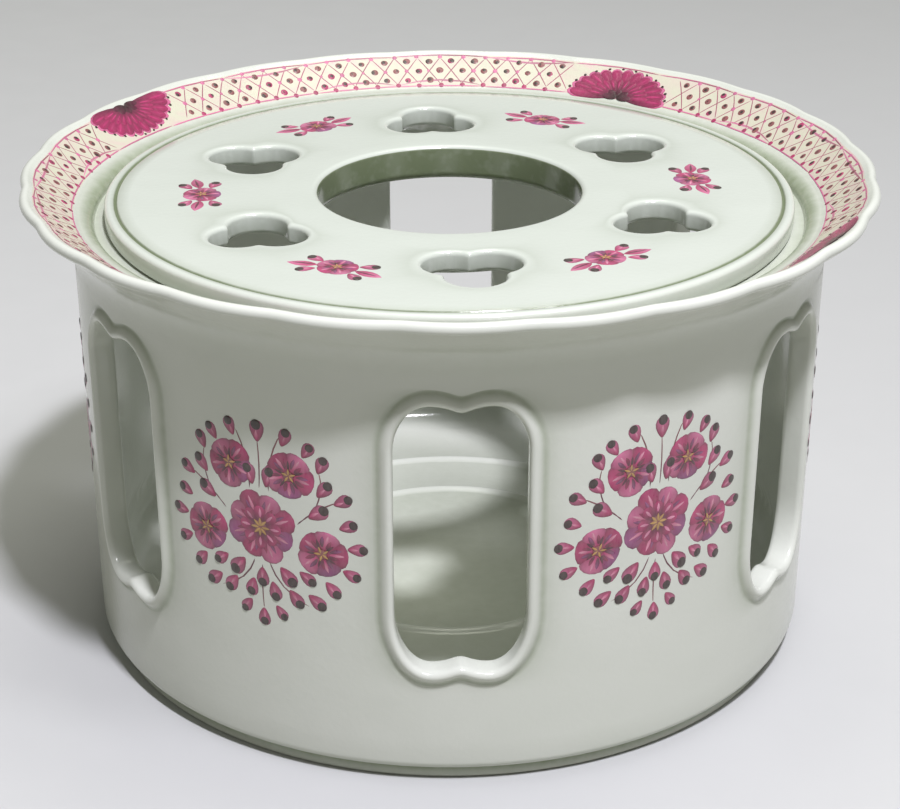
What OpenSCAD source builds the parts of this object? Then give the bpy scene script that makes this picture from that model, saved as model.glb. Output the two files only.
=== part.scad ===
// A round porcelain warming stand for a tea or coffee pot. A cylinder with a flared,
// scalloped rim and tall lobed windows shelters a small candle on its floor, and a
// pierced plate drops in at the top and carries the pot. The foot ring stands on
// z = 0, the axis is Z, and the front window looks towards -Y.

/* [Stand] */
// Height from the foot ring to the top of the lip
stand_h = 93.9; // [88:0.2:110]
// Outer radius of the wall where the rim's cove begins
wall_r = 72.6; // [69:0.2:82]
// How far the wall draws in from the cove to its lower edge
wall_taper = 0.7; // [0:0.1:2]
// Thickness of the wall
wall_t = 4.2; // [3:0.1:5.5]
// Thickness of the floor
floor_t = 5.1; // [3:0.1:8]
// Rounding of the wall's lower edge
base_round = 1.8; // [0.5:0.1:1.9]
// Radius of the fillet between the floor and the inside of the wall
floor_fillet = 6; // [2:0.5:10]

/* [Foot ring] */
// Height of the foot ring below the wall's lower edge
foot_h = 2.6; // [1:0.1:4]
// Width of the foot ring
foot_w = 4; // [2.5:0.1:8]
// How far the foot ring stands in from the wall's lower edge
foot_inset = 2; // [2:0.1:6]
// Chamfer of the foot ring's edges
foot_edge = 0.5; // [0.1:0.1:1]

/* [Floor rings] */
// Radius of the inner ring raised on the floor
inner_ring_r = 31; // [20:0.5:36]
// Radius of the outer ring raised on the floor
outer_ring_r = 46; // [40:0.5:54]
// Height of the floor rings
ring_h = 0.7; // [0.3:0.1:2]
// Width of the floor rings
ring_w = 2.4; // [1:0.1:4]

/* [Rim] */
// How far the lip reaches out from the wall
rim_reach = 9.6; // [8:0.2:14]
// Radius of the cove under the rim
cove_round = 11; // [6:0.5:13]
// Angle that the cove turns through
cove_sweep = 52; // [45:1:56]
// Rounding of the lip, half its thickness
lip_round = 1.1; // [0.8:0.1:1.4]
// Slope of the painted band inside the rim, in degrees
band_slope = 35; // [28:1:38]
// Width of the rounded shoulder between the painted band and the lid's recess
shoulder_w = 3.3; // [2:0.1:4]
// Number of shallow lobes round the lip
lobes = 24; // [12:1:36]
// Depth of the notches between the lobes
lobe_depth = 0.8; // [0.2:0.1:1.2]

/* [Windows] */
// Angle from the front or back window to the next one on each side
window_step = 57.5; // [54:0.5:60]
// Half the width of a window
window_half = 11.6; // [9:0.2:13]
// Height of the window's lowest point above the wall's lower edge
sill_h = 21.1; // [14:0.2:30]
// Wall left between the window's top and the underside of the lid's ledge
window_head = 4; // [3.5:0.1:8]
// Half width of one corner of a window
corner_w = 6.3; // [4:0.1:8]
// Height of the lower corners
corner_low = 11; // [6:0.5:14]
// Height of the upper corners
corner_high = 9; // [6:0.5:14]
// How far the cusp between two lobes points into the window
cusp = 1.9; // [1:0.1:3]
// Width of the raised moulding round each window
moulding_w = 2.2; // [1:0.1:3]
// Height of the moulding's outer step above the wall
moulding_low = 0.5; // [0.3:0.1:0.8]
// Height of the moulding's crest above the wall
moulding_high = 1; // [0.9:0.1:1.6]

/* [Lid] */
// Thickness of the lid's plate
lid_t = 4; // [3:0.1:5]
// How far the lid's top lies below the top of the lip
lid_drop = 4.9; // [3.6:0.1:6]
// Gap all round between the lid and its recess
lid_gap = 2; // [0.5:0.1:3]
// Width of the ledge that carries the lid, under the lid's edge
ledge_w = 3.4; // [2:0.1:5]
// Thickness of the ledge at its tip
ledge_t = 1.4; // [1:0.1:2]
// Width of the rounded bead along the lid's edge
bead_w = 2; // [1.5:0.1:3]
// Depth of the fine groove inside the bead
groove_d = 0.4; // [0.2:0.1:0.8]
// Width of the fine groove inside the bead
groove_w = 0.5; // [0.3:0.1:1]

/* [Holes in the lid] */
// Radius of the middle hole
hole_r = 25.6; // [23:0.2:27]
// Thickness of the collar round the middle hole
collar_t = 3.6; // [2.5:0.1:4.5]
// How far the collar hangs below the plate
collar_drop = 3.2; // [1:0.1:5]
// Rounding of the middle hole's edges
hole_round = 1; // [0.6:0.1:1.9]
// Number of trefoil holes
trefoils = 6; // [4:1:7]
// Turn of the trefoil holes against the windows, in degrees
lid_turn = 4; // [-20:1:20]
// Plate left between the collar and the trefoil holes
trefoil_web = 6.5; // [4:0.1:8]
// Radius of one lobe of a trefoil hole
lobe_r = 5.5; // [4.8:0.1:6]
// Distance of a lobe's centre from the middle of its trefoil
lobe_off = 4.1; // [3.5:0.1:4.5]

/* [Enamel] */
// Thickness of the fired enamel colours
enamel_t = 0.3; // [0.2:0.05:0.5]
// Hairline between the enamel solids and the glaze, and below the lid's top
enamel_lift = 0.03; // [0.02:0.01:0.05]
// Unpainted margin between the lip's rounding and the painted band
band_margin = 0.7; // [0.4:0.1:2]
// Number of half rosettes in the painted band
rosettes = 4; // [2:2:6]
// Turn of the half rosettes against the windows, in degrees
rosette_turn = 58; // [0:1:90]
// Depth of a half rosette across the band
rosette_r = 7.4; // [5:0.1:7.5]
// Half the width of a half rosette along the band
rosette_w = 11.5; // [7:0.1:14]
// Radius of the large blossom on the wall
blossom_r = 7.2; // [5:0.1:8.5]
// Radius of the small blossoms on the wall
small_blossom_r = 4.6; // [3:0.1:5.4]
// Length of a leaf on the wall
leaf_l = 7.5; // [5:0.1:9]
// Radius of the buds
bud_r = 1.5; // [0.8:0.1:2]
// Radius of a blossom on the lid
sprig_r = 2.8; // [2:0.1:3.2]
// Length of a leaf on the lid
sprig_leaf_l = 4.4; // [3:0.1:5]

/* [Hidden] */
$fn = 96;
spare = 1;

// Radii and heights that follow from the sizes above
lip_r = wall_r + rim_reach;
inner_r = wall_r - wall_t;
base_r = wall_r - wall_taper;
foot_r = base_r - foot_inset;
floor_z = foot_h + floor_t;
lid_top = stand_h - lid_drop;
seat_z = lid_top - lid_t;
lid_r = inner_r - lid_gap;
ledge_r = lid_r - ledge_w;
ledge_foot = seat_z - ledge_t - (inner_r - ledge_r) * 0.8;
collar_r = hole_r + collar_t;
bead_r = lid_r - bead_w;

// The lip is a round nose, the cove's straight runs into it from below
lip_c = [lip_r - lip_round, stand_h - lip_round];
cove_run = (lip_c[0] + lip_round * cos(cove_sweep) - wall_r - cove_round * (1 - cos(cove_sweep)))
    / sin(cove_sweep);
cove_z = lip_c[1] - lip_round * sin(cove_sweep) - cove_round * sin(cove_sweep)
    - cove_run * cos(cove_sweep);

// The painted band runs from the lip's nose down to the shoulder round the recess
band_top = lip_c + lip_round * [-sin(band_slope), cos(band_slope)];
band_foot_r = inner_r + shoulder_w;
function band_z(r) = band_top[1] - (band_top[0] - r) * tan(band_slope);
paint_out_r = band_top[0] - band_margin;
paint_in_r = band_foot_r + 0.5;

// Radius of the wall's outer face at a height
function wall_at(z) = base_r + (wall_r - base_r) * (z - foot_h - base_round)
    / (cove_z - foot_h - base_round);

// Places round the axis: windows, and the middles of the wall between them
WINDOWS = [0, window_step, 180 - window_step, 180, 180 + window_step, 360 - window_step];
PANELS = [window_step / 2, 90, 180 - window_step / 2, 180 + window_step / 2, 270,
    360 - window_step / 2];
window_low = foot_h + sill_h;
window_high = ledge_foot - window_head;
panel_z = (window_low + window_high) / 2 - 1;
lobe_mid = window_half - corner_w;
trefoil_ring_r = collar_r + trefoil_web + lobe_off / 2 + lobe_r;
sprig_ring_r = (collar_r + bead_r) / 2 + 1;
inlay_z = lid_top - enamel_lift - enamel_t;

// Points of an ellipse's arc from one angle to another
function arc(c, a, b, from, to, n) =
    [for (i = [0 : n]) let (t = from + (to - from) * i / n) [c[0] + a * cos(t), c[1] + b * sin(t)]];

// A low rounded ring on the floor, listed from its outer side inwards
function floor_ring(r) = arc([r, floor_z], ring_w / 2, ring_h, 0, 180, 6);

// Right half of a window's outline, grown all round by g: from the lower cusp to the upper
function window_half_outline(g) = concat(
    [for (i = [0 : 3]) let (u = 1 - i / 4) [lobe_mid * (1 - u), window_low - g + cusp * pow(u, 2.2)]],
    arc([lobe_mid, window_low + corner_low], corner_w + g, corner_low + g, -90, 0, 7),
    arc([lobe_mid, window_high - corner_high], corner_w + g, corner_high + g, 0, 90, 7),
    [for (i = [1 : 4]) let (u = i / 4) [lobe_mid * (1 - u), window_high + g - cusp * pow(u, 2.2)]]);

// Whole outline: the right half, and its mirror image without the two shared cusps
function window_outline(g) = let (right = window_half_outline(g), n = len(right))
    concat(right, [for (i = [n - 2 : -1 : 1]) [-right[i][0], right[i][1]]]);

// Section of the stand from the middle of the underside round to the middle of the floor
function stand_section() = concat(
    [[0, foot_h], [foot_r - foot_w, foot_h], [foot_r - foot_w, foot_edge],
        [foot_r - foot_w + foot_edge, 0], [foot_r - foot_edge, 0], [foot_r, foot_edge], [foot_r, foot_h]],
    arc([base_r - base_round, foot_h + base_round], base_round, base_round, -90, 0, 5),
    arc([wall_r + cove_round, cove_z], cove_round, cove_round, 180, 180 - cove_sweep, 10),
    arc([lip_c[0] + spare, lip_c[1]], lip_round, lip_round, -cove_sweep, 90, 6),
    arc(lip_c, lip_round, lip_round, 90, 90 + band_slope, 3),
    arc([band_foot_r, seat_z], shoulder_w, band_z(band_foot_r) - seat_z, 90, 180, 7),
    [[ledge_r, seat_z], [ledge_r, seat_z - ledge_t], [wall_at(ledge_foot) - wall_t, ledge_foot]],
    arc([wall_at(floor_z) - wall_t - floor_fillet, floor_z + floor_fillet],
        floor_fillet, floor_fillet, 0, -90, 6),
    floor_ring(outer_ring_r),
    floor_ring(inner_ring_r),
    [[0, floor_z]]);

// Half section of the lid from the hole's upper edge outwards and back along the underside
function lid_section() = concat(
    arc([hole_r + hole_round, lid_top - hole_round], hole_round, hole_round, 180, 90, 6),
    [[bead_r - groove_w, lid_top], [bead_r, lid_top - groove_d]],
    arc([lid_r - bead_w / 2, lid_top - bead_w / 2], bead_w / 2, bead_w / 2, 90, 0, 5),
    arc([lid_r - bead_w / 2, seat_z + bead_w / 2], bead_w / 2, bead_w / 2, 0, -90, 5),
    [[collar_r, seat_z]],
    arc([collar_r - collar_t / 2, seat_z - collar_drop + collar_t / 2], collar_t / 2, collar_t / 2,
        0, -180, 8));

// Outline of the lip with its shallow lobes
function lip_outline() = let (steps = lobes * 8)
    [for (i = [0 : steps - 1]) let (t = 360 * i / steps)
        (lip_r - lobe_depth * (1 - abs(cos(lobes * t / 2)))) * [cos(t), sin(t)]];

// A blossom with round petals and a leaf with two pointed ends, as flat outlines
module blossom(r, petals) {
    polygon([for (i = [0 : petals * 6 - 1]) let (t = 360 * i / (petals * 6))
        r * (0.62 + 0.38 * abs(cos(petals * t / 2))) * [cos(t), sin(t)]]);
}

module leaf(l, turn) {
    rotate(turn)
        polygon(concat(
            [for (i = [0 : 5]) let (u = i / 5) [l * u, 0.24 * l * sin(180 * u)]],
            [for (i = [4 : -1 : 1]) let (u = i / 5) [l * u, -0.24 * l * sin(180 * u)]]));
}

// Stands a flat outline up, facing outwards at an angle round the axis, between two radii
module face_out(turn, r_in, r_out) {
    rotate([0, 0, turn])
        translate([0, -r_in, 0])
            rotate([90, 0, 0])
                linear_extrude(height = r_out - r_in)
                    children();
}

// A band that follows the wall's outer face, from r_low inside it to r_high outside it
module wall_band(r_low, r_high) {
    z_low = foot_h + base_round;
    rotate_extrude()
        polygon([[base_r - r_low, z_low], [base_r + r_high, z_low], [wall_r + r_high, cove_z],
            [wall_r - r_low, cove_z]]);
}

// Raised mouldings round the windows, in two steps up to the crest
module mouldings() {
    for (step = [[moulding_w, moulding_low], [moulding_w * 0.65, moulding_high]])
        intersection() {
            wall_band(spare, step[1]);
            for (turn = WINDOWS)
                face_out(turn, inner_r - spare, lip_r)
                    polygon(window_outline(step[0]));
        }
}

module stand_body() {
    color([0.90, 0.92, 0.90])
        difference() {
            union() {
                intersection() {
                    rotate_extrude()
                        polygon(stand_section());
                    translate([0, 0, -spare])
                        linear_extrude(height = stand_h + 2 * spare)
                            polygon(lip_outline());
                }
                mouldings();
            }
            for (turn = WINDOWS)
                face_out(turn, ledge_r - floor_fillet, lip_r)
                    polygon(window_outline(0));
        }
}

// Calls its children once at each trefoil hole, with +X pointing outwards
module at_trefoils() {
    for (i = [0 : trefoils - 1])
        rotate([0, 0, lid_turn - 90 + 360 * i / trefoils])
            translate([trefoil_ring_r, 0, 0])
                children();
}

// Calls its children once midway between each two trefoil holes
module at_sprigs() {
    for (i = [0 : trefoils - 1])
        rotate([0, 0, lid_turn - 90 + 360 * (i + 0.5) / trefoils])
            translate([sprig_ring_r, 0, 0])
                children();
}

// Flat outline of a sprig: a blossom with a leaf on either side
module sprig_outline() {
    blossom(sprig_r, 5);
    for (side = [-1, 1])
        translate([0, side * (sprig_r + 0.4)])
            leaf(sprig_leaf_l, side * 75);
}

// Flat outline of a trefoil hole, one lobe pointing along +X
module trefoil_outline() {
    for (turn = [0, 120, 240])
        rotate(turn)
            translate([lobe_off, 0])
                circle(r = lobe_r, $fn = 48);
}

module lid() {
    color([0.91, 0.94, 0.91])
        difference() {
            rotate_extrude()
                polygon(lid_section());
            at_trefoils()
                translate([0, 0, seat_z - spare])
                    linear_extrude(height = lid_t + 2 * spare)
                        trefoil_outline();
            at_sprigs()
                translate([0, 0, inlay_z])
                    linear_extrude(height = lid_top - inlay_z + spare)
                        sprig_outline();
        }
}

// A thin skin on the sloping band inside the rim
module band_skin() {
    translate([0, 0, enamel_lift])
        rotate_extrude()
            polygon([[paint_in_r, band_z(paint_in_r)], [paint_out_r, band_z(paint_out_r)],
                [paint_out_r, band_z(paint_out_r) + enamel_t], [paint_in_r, band_z(paint_in_r) + enamel_t]]);
}

// Upright prisms of the half rosettes, with their straight sides on the outer and the inner edge by turns
module rosette_prisms() {
    for (i = [0 : rosettes - 1])
        rotate([0, 0, rosette_turn - 90 + 360 * i / rosettes])
            translate([i % 2 == 0 ? paint_out_r : paint_in_r, 0, seat_z])
                linear_extrude(height = stand_h - seat_z)
                    polygon([for (a = [0 : 7.5 : 359]) [rosette_r * cos(a), rosette_w * sin(a)]]);
}

module rim_band() {
    color([0.93, 0.88, 0.83])
        difference() {
            band_skin();
            rosette_prisms();
        }
}

module rim_rosettes() {
    color([0.72, 0.16, 0.42])
        intersection() {
            band_skin();
            rosette_prisms();
        }
}

// Flat outline of one posy: blossoms, leaves and buds round a middle blossom
module posy() {
    blossom(blossom_r, 8);
    for (side = [-1, 1]) {
        translate([side * (blossom_r + small_blossom_r), -3])
            blossom(small_blossom_r, 5);
        translate([side * small_blossom_r * 1.3, blossom_r + small_blossom_r])
            blossom(small_blossom_r, 5);
        translate([side * blossom_r * 0.5, -blossom_r - 1])
            leaf(leaf_l, side * 50 - 90);
        translate([side * (blossom_r + 1.5), 4])
            leaf(leaf_l, 90 - side * 60);
        translate([side * 3 * bud_r, blossom_r + 2 * small_blossom_r + 3 * bud_r])
            circle(r = bud_r, $fn = 24);
        translate([side * (blossom_r + small_blossom_r), -small_blossom_r - 3 - 3 * bud_r])
            circle(r = bud_r, $fn = 24);
    }
    translate([0, -blossom_r - leaf_l - 3 * bud_r])
        circle(r = bud_r, $fn = 24);
}

module wall_posies() {
    color([0.78, 0.30, 0.50])
        intersection() {
            wall_band(-enamel_lift, enamel_lift + enamel_t);
            for (turn = PANELS)
                face_out(turn, inner_r, lip_r)
                    translate([0, panel_z])
                        posy();
        }
}

// Inlaid in shallow recesses, so that a pot's flat foot lies on the lid itself
module lid_sprigs() {
    color([0.80, 0.36, 0.54])
        at_sprigs()
            translate([0, 0, inlay_z])
                linear_extrude(height = enamel_t)
                    sprig_outline();
}

stand_body();
lid();
rim_band();
rim_rosettes();
wall_posies();
lid_sprigs();
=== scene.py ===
"""Dresses a porcelain warming stand: its casting, its pierced lid and its painted enamel.

Every surface is worked out in millimetres as arrays of points, and goes into its mesh in
metres. Angles round the axis are measured from the front, towards the right.
"""
import logging
import math
from dataclasses import dataclass, field
from enum import Enum
from functools import partial
from typing import Any, Callable

import bmesh
import bpy
import numpy as np
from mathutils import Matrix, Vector


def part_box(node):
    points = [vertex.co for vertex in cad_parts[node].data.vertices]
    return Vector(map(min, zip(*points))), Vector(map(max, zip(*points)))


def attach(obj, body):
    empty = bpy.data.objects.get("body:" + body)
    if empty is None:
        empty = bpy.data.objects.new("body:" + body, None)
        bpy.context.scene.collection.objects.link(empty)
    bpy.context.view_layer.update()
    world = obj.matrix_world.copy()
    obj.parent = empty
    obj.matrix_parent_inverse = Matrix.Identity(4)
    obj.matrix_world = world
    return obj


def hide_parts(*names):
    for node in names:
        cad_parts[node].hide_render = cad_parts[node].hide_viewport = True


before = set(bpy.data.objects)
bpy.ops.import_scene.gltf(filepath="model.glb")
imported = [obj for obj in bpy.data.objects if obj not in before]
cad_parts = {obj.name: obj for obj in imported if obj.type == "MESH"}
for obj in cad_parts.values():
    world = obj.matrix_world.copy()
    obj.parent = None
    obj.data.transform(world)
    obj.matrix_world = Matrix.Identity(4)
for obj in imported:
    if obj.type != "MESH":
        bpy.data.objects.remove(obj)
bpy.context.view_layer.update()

Array = np.ndarray
Pair = tuple[float, float]
Colour = tuple[float, float, float]
Place = Callable[[Array, Array, Array], Array]

MM = 0.001
WELD = 2e-6
SUNK = 0.01
SMOOTH_ANGLE = math.radians(55)
LOG = logging.getLogger("warming_stand")


def smooth(value: Array) -> Array:
    """Eases 0 to 1 with level ends: three squares less two cubes of the clipped value."""
    t = np.clip(value, 0.0, 1.0)
    return t * t * (3.0 - 2.0 * t)


def hill(value: Array) -> Array:
    """Rises from 0 at -1 to 1 at 0 and falls back at 1: half of one plus the cosine."""
    return 0.5 + 0.5 * np.cos(np.pi * value)


def bump(value: Array, centre: float, width: float) -> Array:
    """A bell curve of height 1: the exponential of minus the squared distance in widths."""
    return np.exp(-(((value - centre) / width) ** 2))


def pooled_and_shaded(value: Array, centre: float, pool_and_shade: Pair) -> Array:
    """Darkening for glaze pooling and painted shade: a share times a bell curve of its spread."""
    share, spread = pool_and_shade
    return share * bump(value, centre, spread)


def turned(radius: Array, angle: Array, height: Array) -> Array:
    """Points at a radius, an angle from the front and a height.

    Args:
        radius: Distance from the axis, in millimetres.
        angle: Angle from the front towards the right, in radians.
        height: Height above the table, in millimetres.

    Returns:
        The points, with x, y and z along the last axis.
    """
    radius, angle, height = np.broadcast_arrays(radius, angle, height)
    return np.stack([radius * np.sin(angle), -radius * np.cos(angle), height], -1)


def ellipse(centre: Pair, radii: Pair, start: float, end: float, count: int) -> Array:
    """Points on an ellipse's arc: the centre plus each radius times the angle's cosine or sine.

    Args:
        centre: The ellipse's centre.
        radii: Its half width and half height.
        start: First angle, in degrees.
        end: Last angle, in degrees.
        count: Number of steps.

    Returns:
        The arc's points, both ends included.
    """
    t = np.radians(np.linspace(start, end, count + 1))
    return np.stack([centre[0] + radii[0] * np.cos(t), centre[1] + radii[1] * np.sin(t)], -1)


def arc(x: float, y: float, radius: float, start: float, end: float, count: int) -> Array:
    """Points on a circle's arc, with its centre at x and y and its angles in degrees."""
    return ellipse((x, y), (radius, radius), start, end, count)


def joined(*parts: Any) -> Array:
    """Joins arcs and lists of points into one line."""
    return np.concatenate([np.asarray(part, dtype=float) for part in parts])


def respaced(points: Array, count: int) -> Array:
    """Spreads points evenly along a polyline, leaving out its last point.

    Args:
        points: The polyline.
        count: Number of points wanted.

    Returns:
        The points at equal lengths along the line.
    """
    steps = np.linalg.norm(np.diff(points, axis=0), axis=1)
    length = np.concatenate([[0.0], np.cumsum(steps)])
    wanted = np.linspace(0.0, length[-1], count, endpoint=False)
    return np.stack([np.interp(wanted, length, points[:, axis]) for axis in (0, 1)], -1)


def frame_loop(low: Pair, high: Pair, across: int, up: int) -> Array:
    """Points round a rectangle, counter-clockwise from its lower left corner.

    Args:
        low: Lower left corner.
        high: Upper right corner.
        across: Steps along the lower and the upper side.
        up: Steps along the left and the right side.

    Returns:
        One point a step, without repeating the first.
    """
    a = np.linspace(0.0, 1.0, across, endpoint=False)
    b = np.linspace(0.0, 1.0, up, endpoint=False)
    wide, tall = high[0] - low[0], high[1] - low[1]
    sides = [
        (low[0] + wide * a, np.full_like(a, low[1])),
        (np.full_like(b, high[0]), low[1] + tall * b),
        (high[0] - wide * a, np.full_like(a, high[1])),
        (np.full_like(b, low[0]), high[1] - tall * b),
    ]
    return np.concatenate([np.stack(side, -1) for side in sides])


def srgb(code: str) -> Colour:
    """Turns a colour code into linear light, by the standard curve with its straight foot.

    Args:
        code: Six hexadecimal digits.

    Returns:
        Linear red, green and blue.
    """
    raw = np.array([int(code[i:i + 2], 16) for i in (0, 2, 4)]) / 255.0
    linear = np.where(raw <= 0.04045, raw / 12.92, ((raw + 0.055) / 1.055) ** 2.4)
    return tuple(float(part) for part in linear)


def dimmed(colour: Colour, share: float) -> Colour:
    """A colour with a share of its light left."""
    return tuple(share * part for part in colour)


class Flow:
    """A node socket that adds Math nodes when it is used in an expression."""

    def __init__(self, tree: "Wires", socket: bpy.types.NodeSocket) -> None:
        """Keeps the tree and the socket that carries the value."""
        self.tree = tree
        self.socket = socket

    def _math(self, operation: str, first: Any, second: Any) -> "Flow":
        """Adds one Math node.

        Args:
            operation: The node's operation.
            first: Left operand, a number or a Flow.
            second: Right operand, a number or a Flow.

        Returns:
            The node's result.
        """
        node = self.tree.add("ShaderNodeMath", {"operation": operation}, {0: first, 1: second})
        return self.tree.flow(node)

    def __add__(self, other: Any) -> "Flow":
        """Sum."""
        return self._math("ADD", self, other)

    def __radd__(self, other: Any) -> "Flow":
        """Sum with a number on the left."""
        return self._math("ADD", other, self)

    def __mul__(self, other: Any) -> "Flow":
        """Product."""
        return self._math("MULTIPLY", self, other)

    def __rmul__(self, other: Any) -> "Flow":
        """Product with a number on the left."""
        return self._math("MULTIPLY", other, self)


class Wires:
    """A material's node tree, filled by one method that makes any node."""

    def __init__(self, name: str) -> None:
        """Makes an empty material.

        Args:
            name: The material's name.
        """
        self.material = bpy.data.materials.new(name)
        self.material.use_nodes = True
        self.nodes = self.material.node_tree.nodes
        self.links = self.material.node_tree.links
        self.nodes.clear()

    def add(self, kind: str, settings: dict[str, Any], inputs: dict[Any, Any]) -> bpy.types.Node:
        """Adds a node, sets it, and then fills its sockets.

        Args:
            kind: The node's type.
            settings: Properties of the node.
            inputs: Values or Flows for the sockets, by name or number.

        Returns:
            The new node.
        """
        node = self.nodes.new(kind)
        for key, value in settings.items():
            setattr(node, key, value)
        for key, value in inputs.items():
            if isinstance(value, Flow):
                self.links.new(value.socket, node.inputs[key])
            else:
                node.inputs[key].default_value = value
        return node

    def flow(self, node: bpy.types.Node, output: Any = 0) -> Flow:
        """The Flow from one of a node's outputs."""
        return Flow(self, node.outputs[output])

    def place(self) -> Flow:
        """Position on the object."""
        return self.flow(self.add("ShaderNodeTexCoord", {}, {}), "Object")

    def attribute(self, name: str, output: str) -> Flow:
        """A value or a colour stored on the mesh's points."""
        return self.flow(self.add("ShaderNodeAttribute", {"attribute_name": name}, {}), output)

    def noise(self, scale: float, detail: float, stretch: Colour = (1.0, 1.0, 1.0)) -> Flow:
        """Soft noise between 0 and 1.

        Args:
            scale: Patches to the metre.
            detail: Finer layers.
            stretch: Scale along each axis.

        Returns:
            The noise's value.
        """
        spot = self.add("ShaderNodeMapping", {}, {"Vector": self.place(), "Scale": stretch})
        noise = self.add("ShaderNodeTexNoise", {},
                         {"Vector": self.flow(spot), "Scale": scale, "Detail": detail})
        return self.flow(noise, "Fac")

    def mix(self, factor: Any, first: Any, second: Any) -> Flow:
        """Mixes two colours.

        Args:
            factor: Share of the second colour, a number or a Flow.
            first: First colour.
            second: Second colour.

        Returns:
            The mixed colour.
        """
        sides = [side if isinstance(side, Flow) else (*side, 1.0) for side in (first, second)]
        node = self.add("ShaderNodeMix", {"data_type": "RGBA"},
                        {0: factor, 6: sides[0], 7: sides[1]})
        return self.flow(node, 2)

    def relief(self, height: Flow, strength: float, depth: float) -> Flow:
        """A Bump node's normal from a height.

        Args:
            height: The height, 0 to 1.
            strength: The node's strength.
            depth: Real depth of a height of 1, in metres.

        Returns:
            The bent normal.
        """
        return self.flow(self.add("ShaderNodeBump", {},
                                  {"Strength": strength, "Distance": depth, "Height": height}))

    def surface(self, inputs: dict[str, Any]) -> bpy.types.Material:
        """Ends the tree with a Principled shader.

        Args:
            inputs: Values or Flows for the shader's sockets.

        Returns:
            The finished material.
        """
        shader = self.add("ShaderNodeBsdfPrincipled", {}, inputs)
        self.add("ShaderNodeOutputMaterial", {}, {"Surface": self.flow(shader)})
        return self.material


@dataclass(frozen=True)
class Glaze:
    """Clear glossy glaze over white porcelain, olive where glaze gathers and in painted shade."""

    name: str
    clear: Colour = srgb("E8E9E5")
    shaded: Colour = srgb("E1E4DD")
    # Dark olive of gathered glaze, also used for painted shade.
    pooled_and_shaded: Colour = srgb("8A9678")
    olive_even: float = 0.75
    olive_broken: float = 0.5
    rough: float = 0.13
    rough_range: float = 0.06
    broad_scale: float = 38.0
    fine_scale: float = 420.0
    wave_scale: float = 70.0
    ripple_scale: float = 900.0
    ripple_share: float = 0.12
    wave_strength: float = 0.35
    wave_depth: float = 0.0006
    ior: float = 1.52

    def build(self) -> bpy.types.Material:
        """Makes the material.

        Returns:
            Porcelain whose colour follows broad soft noise and the mesh's pool_and_shade attribute
            (glaze pooling and painted shade), with a faint unevenness in its gloss and surface.
        """
        wires = Wires(self.name)
        broad = wires.noise(self.broad_scale, 3.0)
        fine = wires.noise(self.fine_scale, 2.0)
        ground = wires.mix(broad, self.clear, self.shaded)
        # Dark olive mixes in where the mesh marks glaze pooling, and where it marks painted shade.
        pool_and_shade = wires.attribute("pool_and_shade", "Fac")
        olive_share = pool_and_shade * (self.olive_even + self.olive_broken * fine)
        colour = wires.mix(olive_share, ground, self.pooled_and_shaded)
        waves = (wires.noise(self.wave_scale, 1.0)
                 + self.ripple_share * wires.noise(self.ripple_scale, 1.0))
        return wires.surface({
            "Base Color": colour,
            "Roughness": self.rough + self.rough_range * fine,
            "IOR": self.ior,
            "Normal": wires.relief(waves, self.wave_strength, self.wave_depth),
        })


@dataclass(frozen=True)
class Enamel:
    """Fired colour laid on with a brush, read from the mesh's paint attribute."""

    name: str
    streak: float = 0.35
    streak_scale: float = 1500.0
    streak_stretch: Colour = (1.0, 1.0, 0.45)
    streak_strength: float = 0.25
    streak_depth: float = 0.0001
    ground: Colour = srgb("F0EBE2")
    ground_share: float = 0.45
    rough: float = 0.24
    rough_range: float = 0.12
    ior: float = 1.5

    def build(self) -> bpy.types.Material:
        """Makes the material.

        Returns:
            Enamel whose colour thins and thickens in fine streaks, with a soft gloss.
        """
        wires = Wires(self.name)
        paint = wires.attribute("paint", "Color")
        streaks = wires.noise(self.streak_scale, 3.0, self.streak_stretch)
        thin = wires.mix(self.ground_share, paint, self.ground)
        colour = wires.mix(streaks * self.streak, paint, thin)
        return wires.surface({
            "Base Color": colour,
            "Roughness": self.rough + self.rough_range * streaks,
            "IOR": self.ior,
            "Normal": wires.relief(streaks, self.streak_strength, self.streak_depth),
        })


@dataclass(frozen=True)
class TableTop:
    """The plain pale surface that the stand is on, a little darker towards the right."""

    seen: Colour = srgb("D3D3D6")
    cast: Colour = srgb("A6A79F")
    right_share: float = 0.9
    right_middle: float = 0.5
    right_slope: float = 3.4
    mottle: float = 0.25
    mottle_share: float = 0.8
    mottle_scale: float = 60.0
    rough: float = 0.9

    def build(self) -> bpy.types.Material:
        """Makes the matt material, a hair uneven in its tone.

        Returns:
            A surface that is paler to the camera and in reflections than in the light it casts
            back on the stand, and that falls off evenly in tone from left to right.
        """
        wires = Wires("pale_table")
        path = wires.add("ShaderNodeLightPath", {}, {})
        direct = (wires.flow(path, "Is Camera Ray") + wires.flow(path, "Is Glossy Ray")
                  + wires.flow(path, "Is Transmission Ray"))
        tone = wires.noise(self.mottle_scale, 4.0)
        split = wires.add("ShaderNodeSeparateXYZ", {}, {"Vector": wires.place()})
        fall = self.right_middle + self.right_slope * wires.flow(split, "X")
        slope = wires.mix(fall, self.seen, dimmed(self.seen, self.right_share))
        ground = wires.mix(self.mottle * tone, slope, dimmed(self.seen, self.mottle_share))
        colour = wires.mix(direct, self.cast, ground)
        return wires.surface({"Base Color": colour, "Roughness": self.rough})


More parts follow.
